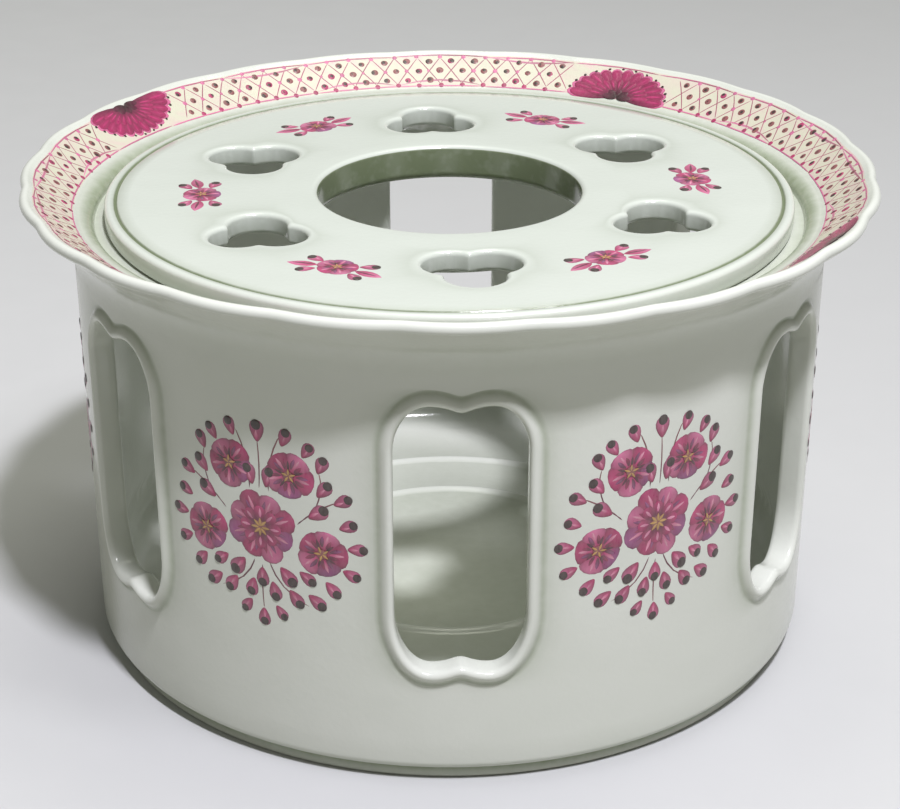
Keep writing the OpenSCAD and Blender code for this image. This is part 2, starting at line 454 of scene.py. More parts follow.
@dataclass
class Shell:
    """Gathers grids of points into one closed mesh."""

    name: str
    points: list[Array] = field(default_factory=list)
    faces: list[Array] = field(default_factory=list)
    values: list[Array] = field(default_factory=list)
    size: int = 0

    def grid(self, points: Array, values: Array, close_rows: bool = False,
             close_columns: bool = False) -> None:
        """Adds a grid, or a stack of grids, of four-sided faces.

        Args:
            points: Points in millimetres, with the two grid directions before the last axis
                and any stacked grids before those.
            values: A colour, or one number, for each point.
            close_rows: Whether the last row joins the first.
            close_columns: Whether the last column joins the first.
        """
        rows, columns = points.shape[-3:-1]
        count = points.size // 3
        index = np.arange(count).reshape(-1, rows, columns) + self.size
        if close_rows:
            index = np.concatenate([index, index[:, :1]], 1)
        if close_columns:
            index = np.concatenate([index, index[:, :, :1]], 2)
        corners = [index[:, :-1, :-1], index[:, 1:, :-1], index[:, 1:, 1:], index[:, :-1, 1:]]
        self.faces.append(np.stack(corners, -1).reshape(-1, 4))
        self.points.append(points.reshape(-1, 3))
        wide = np.broadcast_to(values, (*points.shape[:-1], values.shape[-1]))
        self.values.append(wide.reshape(count, -1))
        self.size += count

    def carry(self, radius: Array, angles: Array, height: Array, pool_and_shade: Array) -> None:
        """Adds a section carried round the axis: each of its points, turned to each angle.

        Args:
            radius: Radius of each point of the section, in rows.
            angles: Angles round the axis, in radians.
            height: Height of each point of the section.
            pool_and_shade: How much glaze pooling and painted shade darken each of them.
        """
        self.grid(turned(radius, angles[None, :], height[:, None]), pool_and_shade[:, None, None],
                  close_columns=True)

    def build(self, attribute: str, material: bpy.types.Material, node: str) -> bpy.types.Object:
        """Welds the grids, turns every face outwards and puts the piece in the scene.

        Args:
            attribute: Name of the values on the mesh: numbers, or colours if there are three.
            material: The piece's finish.
            node: The part's node that the piece stands for.

        Returns:
            The piece.
        """
        mesh = bpy.data.meshes.new(self.name)
        points = np.concatenate(self.points) * MM
        mesh.from_pydata(points.tolist(), [], np.concatenate(self.faces).tolist())
        values = np.concatenate(self.values)
        if values.shape[1] == 3:
            layer = mesh.attributes.new(attribute, "FLOAT_COLOR", "POINT")
            values = np.concatenate([values, np.ones((len(values), 1))], 1)
            layer.data.foreach_set("color", values.astype(np.float32).ravel())
        else:
            layer = mesh.attributes.new(attribute, "FLOAT", "POINT")
            layer.data.foreach_set("value", values.astype(np.float32).ravel())
        work = bmesh.new()
        work.from_mesh(mesh)
        bmesh.ops.remove_doubles(work, verts=work.verts, dist=WELD)
        bmesh.ops.dissolve_degenerate(work, edges=work.edges, dist=WELD / 4)
        bmesh.ops.recalc_face_normals(work, faces=work.faces)
        open_edges = sum(1 for edge in work.edges if len(edge.link_faces) != 2)
        work.to_mesh(mesh)
        work.free()
        mesh.shade_smooth()
        mesh.set_sharp_from_angle(angle=SMOOTH_ANGLE)
        mesh.materials.append(material)
        piece = bpy.data.objects.new(self.name, mesh)
        bpy.context.scene.collection.objects.link(piece)
        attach(piece, "root")
        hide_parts(node)
        if open_edges:
            LOG.warning("%s: %d open edges", self.name, open_edges)
        return piece


@dataclass(frozen=True)
class StandPoolsAndShade:
    """How much glaze pooling and painted shade darken each place on the casting.

    A pair is a share and how far it spreads, in millimetres. The flare, the shoulder and the
    foot's joint carry painted shade, and the opening and inside shares are partly its olive.
    """

    panel: float = 0.3
    panel_power: float = 9.0
    moulding: Pair = (0.55, 0.7)
    # Partly glaze pooling, partly the olive of painted shade in the openings and inside.
    opening: float = 0.08
    inside: float = 0.06
    ledge: Pair = (0.5, 1.6)
    # Painted shade: the lip's shadow on the flare and on the wall below it.
    flare: Pair = (0.12, 3.0)
    flare_under_lip: float = 4.0
    lip: Pair = (0.2, 1.0)
    lip_inside: float = 0.4
    # Painted shade on the shoulder, which faces away from the light.
    shoulder: Pair = (0.5, 2.0)
    shoulder_inside: float = 1.7
    floor_middle: Pair = (0.3, 10.0)
    floor_middle_radius: float = 34.0
    floor_edge: Pair = (0.3, 2.5)
    ring: Pair = (0.25, 0.5)
    foot: float = 0.1
    # Painted shade in the recess where the wall meets the foot ring.
    foot_joint: Pair = (1.0, 0.4)
    base: Pair = (0.15, 0.9)


@dataclass
class StandBody:
    """The stand's casting, in millimetres.

    The wall is one patch for each window. Each patch runs from a rectangle on the wall in to
    the window's moulding, through the wall, and out again to a rectangle on the inside. The
    floor, the foot and the rim are sections carried round the axis, and they share their
    angles with the patches so that all of it welds into one closed skin.
    """

    lip_radius: float
    height: float
    lid_top: float
    pools_and_shade: StandPoolsAndShade = StandPoolsAndShade()
    wall_radius: float = 72.6
    base_radius: float = 71.9
    wall_thick: float = 4.2
    foot_high: float = 2.6
    foot_wide: float = 4.0
    foot_inset: float = 2.0
    foot_round: float = 0.5
    foot_fillet: float = 0.8
    base_round: float = 1.8
    floor_top: float = 7.7
    floor_fillet: float = 6.0
    ring_radii: Pair = (46.0, 31.0)
    ring_high: float = 0.7
    ring_half: float = 1.68
    cove_round: float = 11.0
    cove_sweep: float = 52.0
    lip_round: float = 1.1
    band_slope: float = 35.0
    shoulder_wide: float = 3.3
    lobes: int = 24
    lobe_deep: float = 0.8
    lobe_soft: float = 0.008
    lobe_start: float = 4.0
    lid_thick: float = 4.0
    ledge_radius: float = 63.0
    ledge_thick: float = 1.4
    ledge_round: float = 0.4
    ledge_fall: float = 0.8
    seat_gap: float = 0.02
    window_step: float = 57.5
    window_half: float = 11.6
    window_low: float = 23.7
    window_head: float = 4.0
    corner_wide: float = 6.3
    corner_low: float = 11.0
    corner_high: float = 9.0
    cusp: float = 1.9
    cusp_soft: float = 0.22
    cusp_power: float = 2.2
    moulding_wide: float = 3.0
    moulding_high: float = 1.0
    crest: float = 1.0
    edge_round: float = 1.3
    inner_round: float = 1.0
    patch_low: float = 16.0
    across: int = 48
    upright: int = 44
    corner_steps: int = 20
    out_rows: int = 8
    out_power: float = 1.7
    in_rows: int = 6
    in_power: float = 1.4

    def __post_init__(self) -> None:
        """Works out the heights and angles that follow from the sizes."""
        sweep = math.radians(self.cove_sweep)
        self.inner_radius = self.wall_radius - self.wall_thick
        self.lip_centre = (self.lip_radius - self.lip_round, self.height - self.lip_round)
        run = (self.lip_centre[0] + self.lip_round * math.cos(sweep) - self.wall_radius
               - self.cove_round * (1.0 - math.cos(sweep))) / math.sin(sweep)
        self.cove_low = (self.lip_centre[1] - (self.lip_round + self.cove_round) * math.sin(sweep)
                         - run * math.cos(sweep))
        self.seat = self.lid_top - self.lid_thick
        self.ledge_foot = (self.seat - self.ledge_thick
                           - (self.inner_radius - self.ledge_radius) * self.ledge_fall)
        self.window_high = self.ledge_foot - self.window_head
        slope = math.radians(self.band_slope)
        self.band_top = (self.lip_centre[0] - self.lip_round * math.sin(slope),
                         self.lip_centre[1] + self.lip_round * math.cos(slope))
        self.band_foot = self.inner_radius + self.shoulder_wide
        step = self.window_step
        self.windows = np.radians([0.0, step, 180.0 - step, 180.0, 180.0 + step, 360.0 - step])
        self.panels = np.radians([step / 2, 90.0, 180.0 - step / 2, 180.0 + step / 2, 270.0,
                                  360.0 - step / 2])
        self.edges = np.concatenate([[-math.radians(step / 2)], self.panels])
        self.angles = np.concatenate([np.linspace(a, b, self.across, endpoint=False)
                                      for a, b in zip(self.edges[:-1], self.edges[1:])])

    def wall_at(self, height: Array) -> Array:
        """Outer radius of the wall: it widens evenly from its foot to the cove.

        Args:
            height: Height above the table, in millimetres.

        Returns:
            The radius there.
        """
        low = self.foot_high + self.base_round
        share = (height - low) / (self.cove_low - low)
        return self.base_radius + (self.wall_radius - self.base_radius) * share

    def inside_at(self, height: Array) -> Array:
        """Inner radius of the wall, a wall's thickness inside the outer face."""
        return self.wall_at(height) - self.wall_thick

    def band_at(self, radius: Array) -> Array:
        """Height of the sloping band inside the rim, which falls evenly towards the axis."""
        fall = math.tan(math.radians(self.band_slope))
        return self.band_top[1] - (self.band_top[0] - radius) * fall

    def scallop(self, radius: Array, angle: Array) -> Array:
        """Radius of a point near the lip, drawn in between the lobes.

        The lip's outline falls back by the lobe depth times one less the size of a cosine of
        half the lobe count times the angle, with its notch slightly rounded. The effect fades
        out evenly a few millimetres inside the lip.

        Args:
            radius: Radius before the lobes are cut, in millimetres.
            angle: Angle from the front, in radians.

        Returns:
            The radius with the lobes.
        """
        cosine = np.cos(self.lobes * angle / 2.0)
        wave = 1.0 - np.sqrt((cosine ** 2 + self.lobe_soft) / (1.0 + self.lobe_soft))
        start = self.band_foot + self.lobe_start
        return radius - self.lobe_deep * wave * smooth((radius - start) / (self.lip_radius - start))

    def cusp_at(self, x: Array, middle: float) -> Array:
        """Rise of a window's end between its two lobes: a power of how near the middle it is."""
        near = 1.0 - np.sqrt((x / middle) ** 2 + self.cusp_soft ** 2)
        return self.cusp * np.clip(near, 0.0, None) ** self.cusp_power

    def outline(self, grow: float) -> Array:
        """A window's outline, grown all round.

        Quarter ellipses make the corners, straight lines the sides, and two shallow lobes with
        a cusp between them make each end.

        Args:
            grow: Distance outside the opening, in millimetres.

        Returns:
            Points from the lower left corner round, as many as a patch has columns.
        """
        middle = self.window_half - self.corner_wide
        low = (self.window_low + self.corner_low, self.corner_low + grow)
        high = (self.window_high - self.corner_high, self.corner_high + grow)

        def corner(x: float, end: Pair, start: float) -> Array:
            """Half of a corner's quarter ellipse, from an angle in degrees."""
            return ellipse((x, end[0]), (self.corner_wide + grow, end[1]), start, start + 45,
                           self.corner_steps)

        x = np.linspace(-middle, middle, 4 * self.corner_steps + 1)
        lower = np.stack([x, self.window_low - grow + self.cusp_at(x, middle)], -1)[1:-1]
        upper = np.stack([-x, self.window_high + grow - self.cusp_at(x, middle)], -1)[1:-1]
        sides = [
            (corner(-middle, low, 225), lower, corner(middle, low, 270)),
            (corner(middle, low, -45), corner(middle, high, 0)),
            (corner(middle, high, 45), upper, corner(-middle, high, 90)),
            (corner(-middle, high, 135), corner(-middle, low, 180)),
        ]
        counts = (self.across, self.upright, self.across, self.upright)
        return joined(*(respaced(joined(*side), count) for side, count in zip(sides, counts)))

    def opening(self) -> tuple[Array, Array, Array, Array]:
        """Rows of a patch from the moulding's foot, over its crest and through the wall.

        The moulding rises as half a cosine to its crest and rolls over into the opening as a
        quarter ellipse. A straight jamb follows, and a quarter circle leads on to the inside.

        Returns:
            The x, the radius and the height of each point, in rows, and each row's darkening from
            glaze pooling and painted shade.
        """
        foot = np.linspace(self.moulding_wide, self.crest, 8)
        rolls = np.radians([18, 36, 54, 72, 90])
        shares = np.array([0.3, 0.65, 1.0])
        turns = np.radians([22, 45, 68, 90])
        jamb_out = self.moulding_high - self.edge_round
        jamb_in = self.inner_round - self.wall_thick
        grows = np.concatenate([foot, self.crest * (1.0 - np.sin(rolls)), 0.0 * shares,
                                self.inner_round * (1.0 - np.cos(turns))])
        lifts = np.concatenate([
            self.moulding_high * hill((foot - self.crest) / (self.moulding_wide - self.crest)),
            self.moulding_high - self.edge_round * (1.0 - np.cos(rolls)),
            jamb_out + (jamb_in - jamb_out) * shares,
            self.inner_round * (1.0 - np.sin(turns)) - self.wall_thick,
        ])
        pools_and_shade = np.concatenate([pooled_and_shaded(foot, self.moulding_wide - 0.3, self.pools_and_shade.moulding),
                                0.0 * rolls, self.pools_and_shade.opening * shares,
                                np.full(len(turns), self.pools_and_shade.opening)])
        x, height = np.moveaxis(np.array([self.outline(grow) for grow in grows]), -1, 0)
        return x, self.wall_at(height) + lifts[:, None], height, pools_and_shade

    def patches(self, shell: Shell) -> None:
        """Adds the wall with its windows, one patch for each window.

        Outside and inside, rows fade from a rectangle to the opening's first and last row, each
        point on a straight line in angle and height.

        Args:
            shell: Receives the patches.
        """
        x, radius, height, pools_and_shade = self.opening()
        lean = np.arcsin(x / radius)
        out_fade = 1.0 - (1.0 - np.linspace(0.0, 1.0, self.out_rows + 1)[:-1]) ** self.out_power
        in_fade = np.linspace(0.0, 1.0, self.in_rows + 1)[1:] ** self.in_power
        pool_and_shade = np.concatenate([self.pools_and_shade.panel * out_fade ** self.pools_and_shade.panel_power, pools_and_shade,
                               np.full(len(in_fade), self.pools_and_shade.inside)])
        for window, left, right in zip(self.windows, self.edges[:-1], self.edges[1:]):
            around = window + lean
            outer, inner = (frame_loop((left, self.patch_low), (right, top), self.across,
                                       self.upright) for top in (self.cove_low, self.ledge_foot))
            first = np.stack([around[0], height[0]], -1)
            last = np.stack([around[-1], height[-1]], -1)
            rows_out = outer + (first - outer) * out_fade[:, None, None]
            rows_in = last + (inner - last) * in_fade[:, None, None]
            points = np.concatenate([
                turned(self.wall_at(rows_out[..., 1]), rows_out[..., 0], rows_out[..., 1]),
                turned(radius, around, height),
                turned(self.inside_at(rows_in[..., 1]), rows_in[..., 0], rows_in[..., 1]),
            ])
            shell.grid(points, pool_and_shade[:, None, None], close_columns=True)

    def rim_section(self) -> Array:
        """Section from the cove's foot over the lip, the band and the shoulder to the ledge.

        Returns:
            Radius and height of its points: arcs of circles, and a quarter ellipse between the
            band and the seat.
        """
        band = np.linspace(self.band_top[0], self.band_foot, 9)[1:-1]
        seat = self.seat - self.seat_gap
        return joined(
            arc(self.wall_radius + self.cove_round, self.cove_low, self.cove_round,
                180, 180 - self.cove_sweep, 14),
            arc(*self.lip_centre, self.lip_round, -self.cove_sweep, 90 + self.band_slope, 12),
            np.stack([band, self.band_at(band)], -1),
            ellipse((self.band_foot, self.seat),
                    (self.shoulder_wide, self.band_at(self.band_foot) - self.seat), 90, 180, 10),
            [(self.inner_radius - 0.4, seat), (self.ledge_radius + 0.5, seat)],
            arc(self.ledge_radius + self.ledge_round, seat - self.ledge_round, self.ledge_round,
                90, 180, 4),
            [(self.ledge_radius, self.seat - self.ledge_thick),
             (self.inside_at(self.ledge_foot), self.ledge_foot)],
        )

    def rim_darkening(self, radius: Array, height: Array) -> Array:
        """Darkening over the ledge, under the flare, inside the lip and at the band's foot.

        Glaze pooling over the ledge and inside the lip, and painted shade under the flare and on
        the shoulder at the band's foot. Each is a bell curve of the radius, and the flare's shade
        is two eased steps of the height.

        Args:
            radius: Radius of each point of the rim's section.
            height: Its height.

        Returns:
            How much glaze pooling and painted shade darken it there.
        """
        pools_and_shade = self.pools_and_shade
        share, spread = pools_and_shade.flare
        ledge = pooled_and_shaded(radius, self.inner_radius, pools_and_shade.ledge) * (height < self.lid_top)
        # Painted shade: the lip's shadow under the flare.
        flare = (share * smooth((height - self.cove_low) / spread)
                 * smooth((self.height - pools_and_shade.flare_under_lip - height) / spread)
                 * (radius > self.wall_radius - 1.0))
        lip = pooled_and_shaded(radius, self.band_top[0] - pools_and_shade.lip_inside, pools_and_shade.lip)
        # Painted shade on the shoulder at the band's foot.
        shoulder = pooled_and_shaded(radius, self.band_foot - pools_and_shade.shoulder_inside, pools_and_shade.shoulder)
        return (ledge + flare + lip * (height > self.height - 2.0)
                + shoulder * (height > self.seat))

    def floor_section(self) -> Array:
        """Section from the inside of the wall down the fillet and over the rings to the axis.

        Returns:
            Radius and height of its points. Each ring rises and falls as a cosine.
        """
        fillet = self.floor_fillet
        across = np.linspace(1.0, -1.0, 9)
        rings = [np.stack([radius + across * self.ring_half,
                           self.floor_top + self.ring_high * hill(across)], -1)
                 for radius in self.ring_radii]
        return joined(
            [(self.inside_at(self.patch_low), self.patch_low)],
            arc(self.inside_at(self.floor_top) - fillet, self.floor_top + fillet, fillet,
                0, -90, 9),
            *rings,
            [(radius, self.floor_top) for radius in (18.0, 7.0, 0.0)],
        )

    def floor_pool(self, radius: Array) -> Array:
        """Pooling in the floor's middle, at its edge and on both sides of each ring.

        Args:
            radius: Radius of each point of the floor's section.

        Returns:
            An eased step of the radius in the middle, and bell curves for the rest.
        """
        share, spread = self.pools_and_shade.floor_middle
        pool_and_shade = share * smooth((self.pools_and_shade.floor_middle_radius - radius) / spread)
        pool_and_shade = pool_and_shade + pooled_and_shaded(radius, self.inner_radius - 1.0, self.pools_and_shade.floor_edge)
        for ring in self.ring_radii:
            pool_and_shade = pool_and_shade + pooled_and_shaded(np.abs(radius - ring), self.ring_half, self.pools_and_shade.ring)
        return pool_and_shade

    def foot_section(self) -> Array:
        """Section from the axis under the floor, round the foot ring and up to the wall.

        Returns:
            Radius and height of its points, with an arc at each corner.
        """
        outer = self.base_radius - self.foot_inset
        inner = outer - self.foot_wide
        edge, fillet, under = self.foot_round, self.foot_fillet, self.foot_high
        return joined(
            [(radius, under) for radius in (0.0, 20.0, 45.0, inner - 1.5 * fillet)],
            arc(inner - fillet, under - fillet, fillet, 90, 0, 4),
            arc(inner + edge, edge, edge, 180, 270, 4),
            arc(outer - edge, edge, edge, 270, 360, 4),
            [(outer, under - 0.2), (outer + 0.06, under - 0.06)],
            arc(self.base_radius - self.base_round, under + self.base_round, self.base_round,
                -90, 0, 7),
            [(self.wall_at(height), height) for height in (9.0, self.patch_low)],
        )

    def foot_pool_and_shade(self, height: Array) -> Array:
        """Glaze pooling on the foot ring and over it, and painted shade in its joint with the base.

        Args:
            height: Height of each point of the foot's section.

        Returns:
            An even share on the ring, and a bell curve at the joint and over it.
        """
        # The bell curve at the joint is painted shade, in the recess under the wall.
        return (pooled_and_shaded(height, self.foot_high - 0.1, self.pools_and_shade.foot_joint)
                + self.pools_and_shade.foot * (height < self.foot_high)
                + pooled_and_shaded(height, self.foot_high + 0.9, self.pools_and_shade.base))

    def build(self, material: bpy.types.Material) -> bpy.types.Object:
        """Makes the casting.

        Args:
            material: Its glaze.

        Returns:
            The piece.
        """
        shell = Shell("stand_porcelain")
        rim, floor, foot = self.rim_section(), self.floor_section(), self.foot_section()
        self.patches(shell)
        for section, pool_and_shade in ((rim, self.rim_darkening(rim[:, 0], rim[:, 1])),
                              (floor, self.floor_pool(floor[:, 0])),
                              (foot, self.foot_pool_and_shade(foot[:, 1]))):
            radius = self.scallop(section[:, :1], self.angles[None, :])
            shell.carry(radius, self.angles, section[:, 1], pool_and_shade)
        return shell.build("pool_and_shade", material, "stand_body")


@dataclass
class Lid:
    """The pierced plate that carries the pot, in millimetres.

    Its middle part is one patch for each trefoil hole, from a piece of a flat ring in to the
    hole, through the plate and out again below. The hole in the middle with its collar, and
    the edge with its bead, are sections carried round the axis. A darkening pair is the share of
    glaze pooling and how far it spreads; the middle hole's face carries painted shade.
    """

    top: float
    radius: float
    low: float
    thick: float = 4.0
    hole_radius: float = 25.6
    hole_round: float = 1.0
    hole_lean: float = 0.2
    collar_wide: float = 3.6
    bead_wide: float = 2.0
    bead_flat: float = 0.9
    groove_half: float = 0.5
    groove_deep: float = 0.4
    groove_in: float = 0.15
    holes: int = 6
    turn: float = 4.0
    ring_radius: float = 43.25
    lobe_radius: float = 5.5
    lobe_off: float = 4.1
    soften: float = 26.0
    edge_round: float = 0.9
    patch_inner: float = 32.0
    patch_outer: float = 59.0
    across: int = 48
    upright: int = 36
    plate_rows: int = 7
    plate_power: float = 0.8
    plate_pool: float = 0.25
    trefoil_pool: Pair = (0.28, 2.0)
    under_pool: float = 0.08
    # Painted shade over the whole face of the middle hole.
    hole_face_shade: float = 1.0
    collar_pool: Pair = (0.4, 3.0)
    groove_pool: Pair = (1.3, 0.4)
    edge_pool: Pair = (0.5, 1.0)

    def __post_init__(self) -> None:
        """Works out the heights and angles that follow from the sizes."""
        self.bottom = self.top - self.thick
        self.collar_radius = self.hole_radius + self.collar_wide
        self.bead_radius = self.radius - self.bead_wide
        self.groove_radius = self.bead_radius - self.groove_in
        self.step = math.tau / self.holes
        self.centres = math.radians(self.turn) + self.step * np.arange(self.holes)
        self.angles = (self.centres[:, None] - self.step / 2
                       + self.step * np.linspace(0.0, 1.0, self.across, endpoint=False)).ravel()

    def reach(self, direction: Array, grow: float) -> Array:
        """Distance from a hole's middle to its edge.

        Each lobe is a circle, and a ray meets its far side at the centre's distance times the
        cosine, plus a root. A high power mean of the three distances takes the greatest and
        rounds the corners between the lobes.

        Args:
            direction: Angle from the outward direction, in radians.
            grow: Distance outside the hole, in millimetres.

        Returns:
            The distance in each direction, in millimetres.
        """
        size = self.lobe_radius + grow
        total = np.zeros_like(direction)
        for lobe in (0.0, math.tau / 3, 2 * math.tau / 3):
            lean = direction - lobe
            root = np.clip(size ** 2 - (self.lobe_off * np.sin(lean)) ** 2, 0.0, None)
            far = self.lobe_off * np.cos(lean) + np.sqrt(root)
            total += np.clip(far, 0.1, None) ** self.soften
        return total ** (1.0 / self.soften)

    def patches(self, shell: Shell) -> None:
        """Adds the plate round the trefoil holes, one patch for each hole.

        Args:
            shell: Receives the patches.
        """
        loop = frame_loop((-self.step / 2, self.patch_inner), (self.step / 2, self.patch_outer),
                          self.across, self.upright)
        across = loop[:, 1] * np.sin(loop[:, 0])
        outward = loop[:, 1] * np.cos(loop[:, 0]) - self.ring_radius
        direction, far = np.arctan2(across, outward), np.hypot(across, outward)
        turns = np.radians(np.linspace(0.0, 90.0, 7))
        sine, cosine = (self.edge_round * (1.0 - wave(turns)) for wave in (np.sin, np.cos))
        drops = np.concatenate([cosine, self.thick - sine])
        wall = np.array([self.reach(direction, grow) for grow in (*sine, *cosine)])
        fade = np.linspace(0.0, 1.0, self.plate_rows + 1)[:-1, None] ** self.plate_power
        level = np.ones(len(fade))
        reach = np.concatenate([far + (wall[0] - far) * fade, wall,
                                far + (wall[-1] - far) * fade[::-1]])
        height = np.concatenate([self.top * level, self.top - drops, self.bottom * level])
        pool_and_shade = np.concatenate([self.plate_pool * fade[:, 0] ** 4,
                               pooled_and_shaded(drops, self.thick, self.trefoil_pool),
                               self.under_pool * level])
        x = reach * np.sin(direction)
        y = self.ring_radius + reach * np.cos(direction)
        radius, lean = np.hypot(x, y), np.arctan2(x, y)
        for centre in self.centres:
            shell.grid(turned(radius, centre + lean, height[:, None]), pool_and_shade[:, None, None],
                       close_columns=True)

    def middle_section(self) -> Array:
        """Section from the plate's top over the middle hole's lip, down and round the collar.

        Returns:
            Radius and height of its points: a quarter ellipse above and half a circle below.
        """
        wide = self.hole_round + self.hole_lean
        half = self.collar_wide / 2
        return joined(
            [(self.patch_inner, self.top), (self.patch_inner - 2.0, self.top)],
            ellipse((self.hole_radius + wide, self.top - self.hole_round),
                    (wide, self.hole_round), 90, 180, 10),
            arc(self.hole_radius + half, self.low + half, half, 180, 360, 12),
            [(self.collar_radius, self.bottom), (self.patch_inner, self.bottom)],
        )

    def middle_pool_and_shade(self, radius: Array, height: Array) -> Array:
        """Painted shade on the middle hole's face; glaze pooling round the collar's lower edge."""
        face = (radius < self.hole_radius + 0.6) & (height < self.top - 0.6)
        # The middle hole's face takes painted shade all over.
        return self.hole_face_shade * face + pooled_and_shaded(height, self.low, self.collar_pool) * ~face

    def edge_section(self) -> Array:
        """Section from the plate's top over the groove and the bead to the underside.

        Returns:
            Radius and height of its points. The groove dips as a cosine.
        """
        half = self.bead_wide / 2
        across = np.linspace(-1.0, 1.0, 9)
        return joined(
            [(self.patch_outer, self.top), (self.patch_outer + 2.5, self.top)],
            np.stack([self.groove_radius + across * self.groove_half,
                      self.top - self.groove_deep * hill(across)], -1),
            ellipse((self.radius - half, self.top - half * self.bead_flat),
                    (half, half * self.bead_flat), 90, 0, 8),
            arc(self.radius - half, self.bottom + half, half, 0, -90, 5),
            [(self.patch_outer, self.bottom)],
        )

    def rim_darkening(self, radius: Array, height: Array) -> Array:
        """Pooling in the groove of the plate's top, and at its lower edge."""
        return (pooled_and_shaded(radius, self.groove_radius, self.groove_pool) * (height > self.top - 1.0)
                + pooled_and_shaded(height, self.bottom, self.edge_pool))

    def build(self, material: bpy.types.Material) -> bpy.types.Object:
        """Makes the lid.

        Args:
            material: Its glaze.

        Returns:
            The piece.
        """
        shell = Shell("lid_porcelain")
        self.patches(shell)
        for section, darkening_at in ((self.middle_section(), self.middle_pool_and_shade),
                                 (self.edge_section(), self.rim_darkening)):
            radius, height = section.T
            shell.carry(radius[:, None], self.angles, height, darkening_at(radius, height))
        return shell.build("pool_and_shade", material, "lid")


class Paint(Enum):
    """The enamel colours on the palette, as linear colours."""

    RASPBERRY = srgb("A3205C")
    MAGENTA = srgb("B92F70")
    ROSE = srgb("CC6A97")
    BLUSH = srgb("E3A6BD")
    VIOLET = srgb("9C4C88")
    WINE = srgb("5C1537")
    DARK = srgb("2C0F18")
    RUST = srgb("85464B")
    YELLOW = srgb("CBA052")
    CREAM = srgb("D4D3BE")


class Touch(Enum):
    """How a stroke's width runs from start to end: the power of its swell, and its lean."""

    DROP = (0.5, 0.0)
    PETAL = (0.55, 0.42)
    LEAF = (0.95, -0.1)
    LINE = (0.16, 0.0)


@dataclass(frozen=True)
class Colours:
    """A stroke's colour at its start, at its end and along its sides."""

    first: Paint
    last: Paint
    rim: Paint

    def light(self) -> list[Colour]:
        """The three colours as linear light."""
        return [self.first.value, self.last.value, self.rim.value]


@dataclass(frozen=True)
class Stroke:
    """One stroke of the brush on a flat pattern, in millimetres."""

    start: Pair
    bend: Pair
    end: Pair
    half: float
    touch: Touch
    colours: Colours
    high: float
    lift: float = 0.0


@dataclass
class Brushwork:
    """Lays strokes on a surface as thin domed beads of enamel, with a hand's unevenness."""

    shell: Shell
    seed: int
    shake: float = 0.1
    uneven: float = 0.16
    fine: float = 0.45
    side_share: float = 0.75

    def __post_init__(self) -> None:
        """Starts the hand's unevenness from its seed."""
        self.hand = np.random.default_rng(self.seed)

    def lay(self, strokes: list[Stroke], place: Place) -> None:
        """Adds strokes to the shell, the broad ones with more faces than the fine ones.

        Args:
            strokes: The strokes, on the flat pattern.
            place: Puts pattern points and heights on the real surface.
        """
        broad = [stroke for stroke in strokes if stroke.half > self.fine]
        thin = [stroke for stroke in strokes if stroke.half <= self.fine]
        for alike, along, over in ((broad, 8, 4), (thin, 6, 2)):
            if alike:
                self._lay(alike, place, along, over)

    def _lay(self, strokes: list[Stroke], place: Place, along: int, over: int) -> None:
        """Adds strokes that have the same number of faces.

        Along a stroke s runs from 0 to 1, and across it w runs from -1 to 1. The stroke's middle
        is a quadratic curve through its start and end. Its half width is a power of four times
        s times one less s, leaning to one end, and its height is the root of one less w squared.
        Its sides take up its rim colour with the cube of w. A flat back closes it.

        Args:
            strokes: The strokes, on the flat pattern.
            place: Puts pattern points and heights on the real surface.
            along: Faces along a stroke.
            over: Faces across it.
        """
        count = len(strokes)
        ends = np.array([[stroke.start, stroke.bend, stroke.end] for stroke in strokes])
        ends = ends + self.hand.uniform(-self.shake, self.shake, (count, 1, 2))
        ends[:, 1:] += self.hand.uniform(-self.shake, self.shake, (count, 2, 2)) / 2
        half = np.array([stroke.half for stroke in strokes])[:, None]
        power, lean = np.array([stroke.touch.value for stroke in strokes]).T[:, :, None]
        levels = np.array([(stroke.high, stroke.lift) for stroke in strokes])
        high, lift = levels.T[:, :, None, None]
        tints = np.array([stroke.colours.light() for stroke in strokes])
        tints = tints * (1.0 + self.hand.uniform(-self.uneven, self.uneven, (count, 1, 1)))
        s = 0.5 - 0.5 * np.cos(np.linspace(0.0, np.pi, along + 1))
        w = np.sin(np.linspace(-np.pi / 2, np.pi / 2, over + 1))
        weights = np.stack([(1 - s) ** 2, 2 * s * (1 - s), s ** 2])
        middle = np.einsum("kpc,ps->ksc", ends, weights)
        slopes = np.stack([-2 * (1 - s), 2 - 4 * s, 2 * s])
        run = np.einsum("kpc,ps->ksc", ends, slopes)
        run /= np.linalg.norm(run, axis=-1, keepdims=True) + 1e-9
        swell = np.clip(4 * s * (1 - s), 0.0, 1.0)
        wide = half * swell ** power * (1 + lean * (2 * s - 1))
        spot = (middle[:, :, None] + wide[..., None, None] * w[None, None, :, None]
                * np.stack([-run[..., 1], run[..., 0]], -1)[:, :, None])
        dome = np.sqrt(np.clip(1 - w ** 2, 0.0, 1.0))[None, None] * swell[None, :, None] ** 0.4
        top = place(spot[..., 0], spot[..., 1], lift + high * dome)
        mid = tints[:, 0, None] + (tints[:, 1] - tints[:, 0])[:, None] * smooth(s)[None, :, None]
        rim = (np.abs(w) ** 3)[None, None, :, None] * self.side_share
        shade = mid[:, :, None] * (1 - rim) + tints[:, 2][:, None, None] * rim
        self.shell.grid(top, shade)
        sides = spot[:, :, [0, -1]]
        back = place(sides[..., 0], sides[..., 1], lift + 0.0 * sides[..., 0])
        self.shell.grid(back, shade[:, :, [0, -1]])


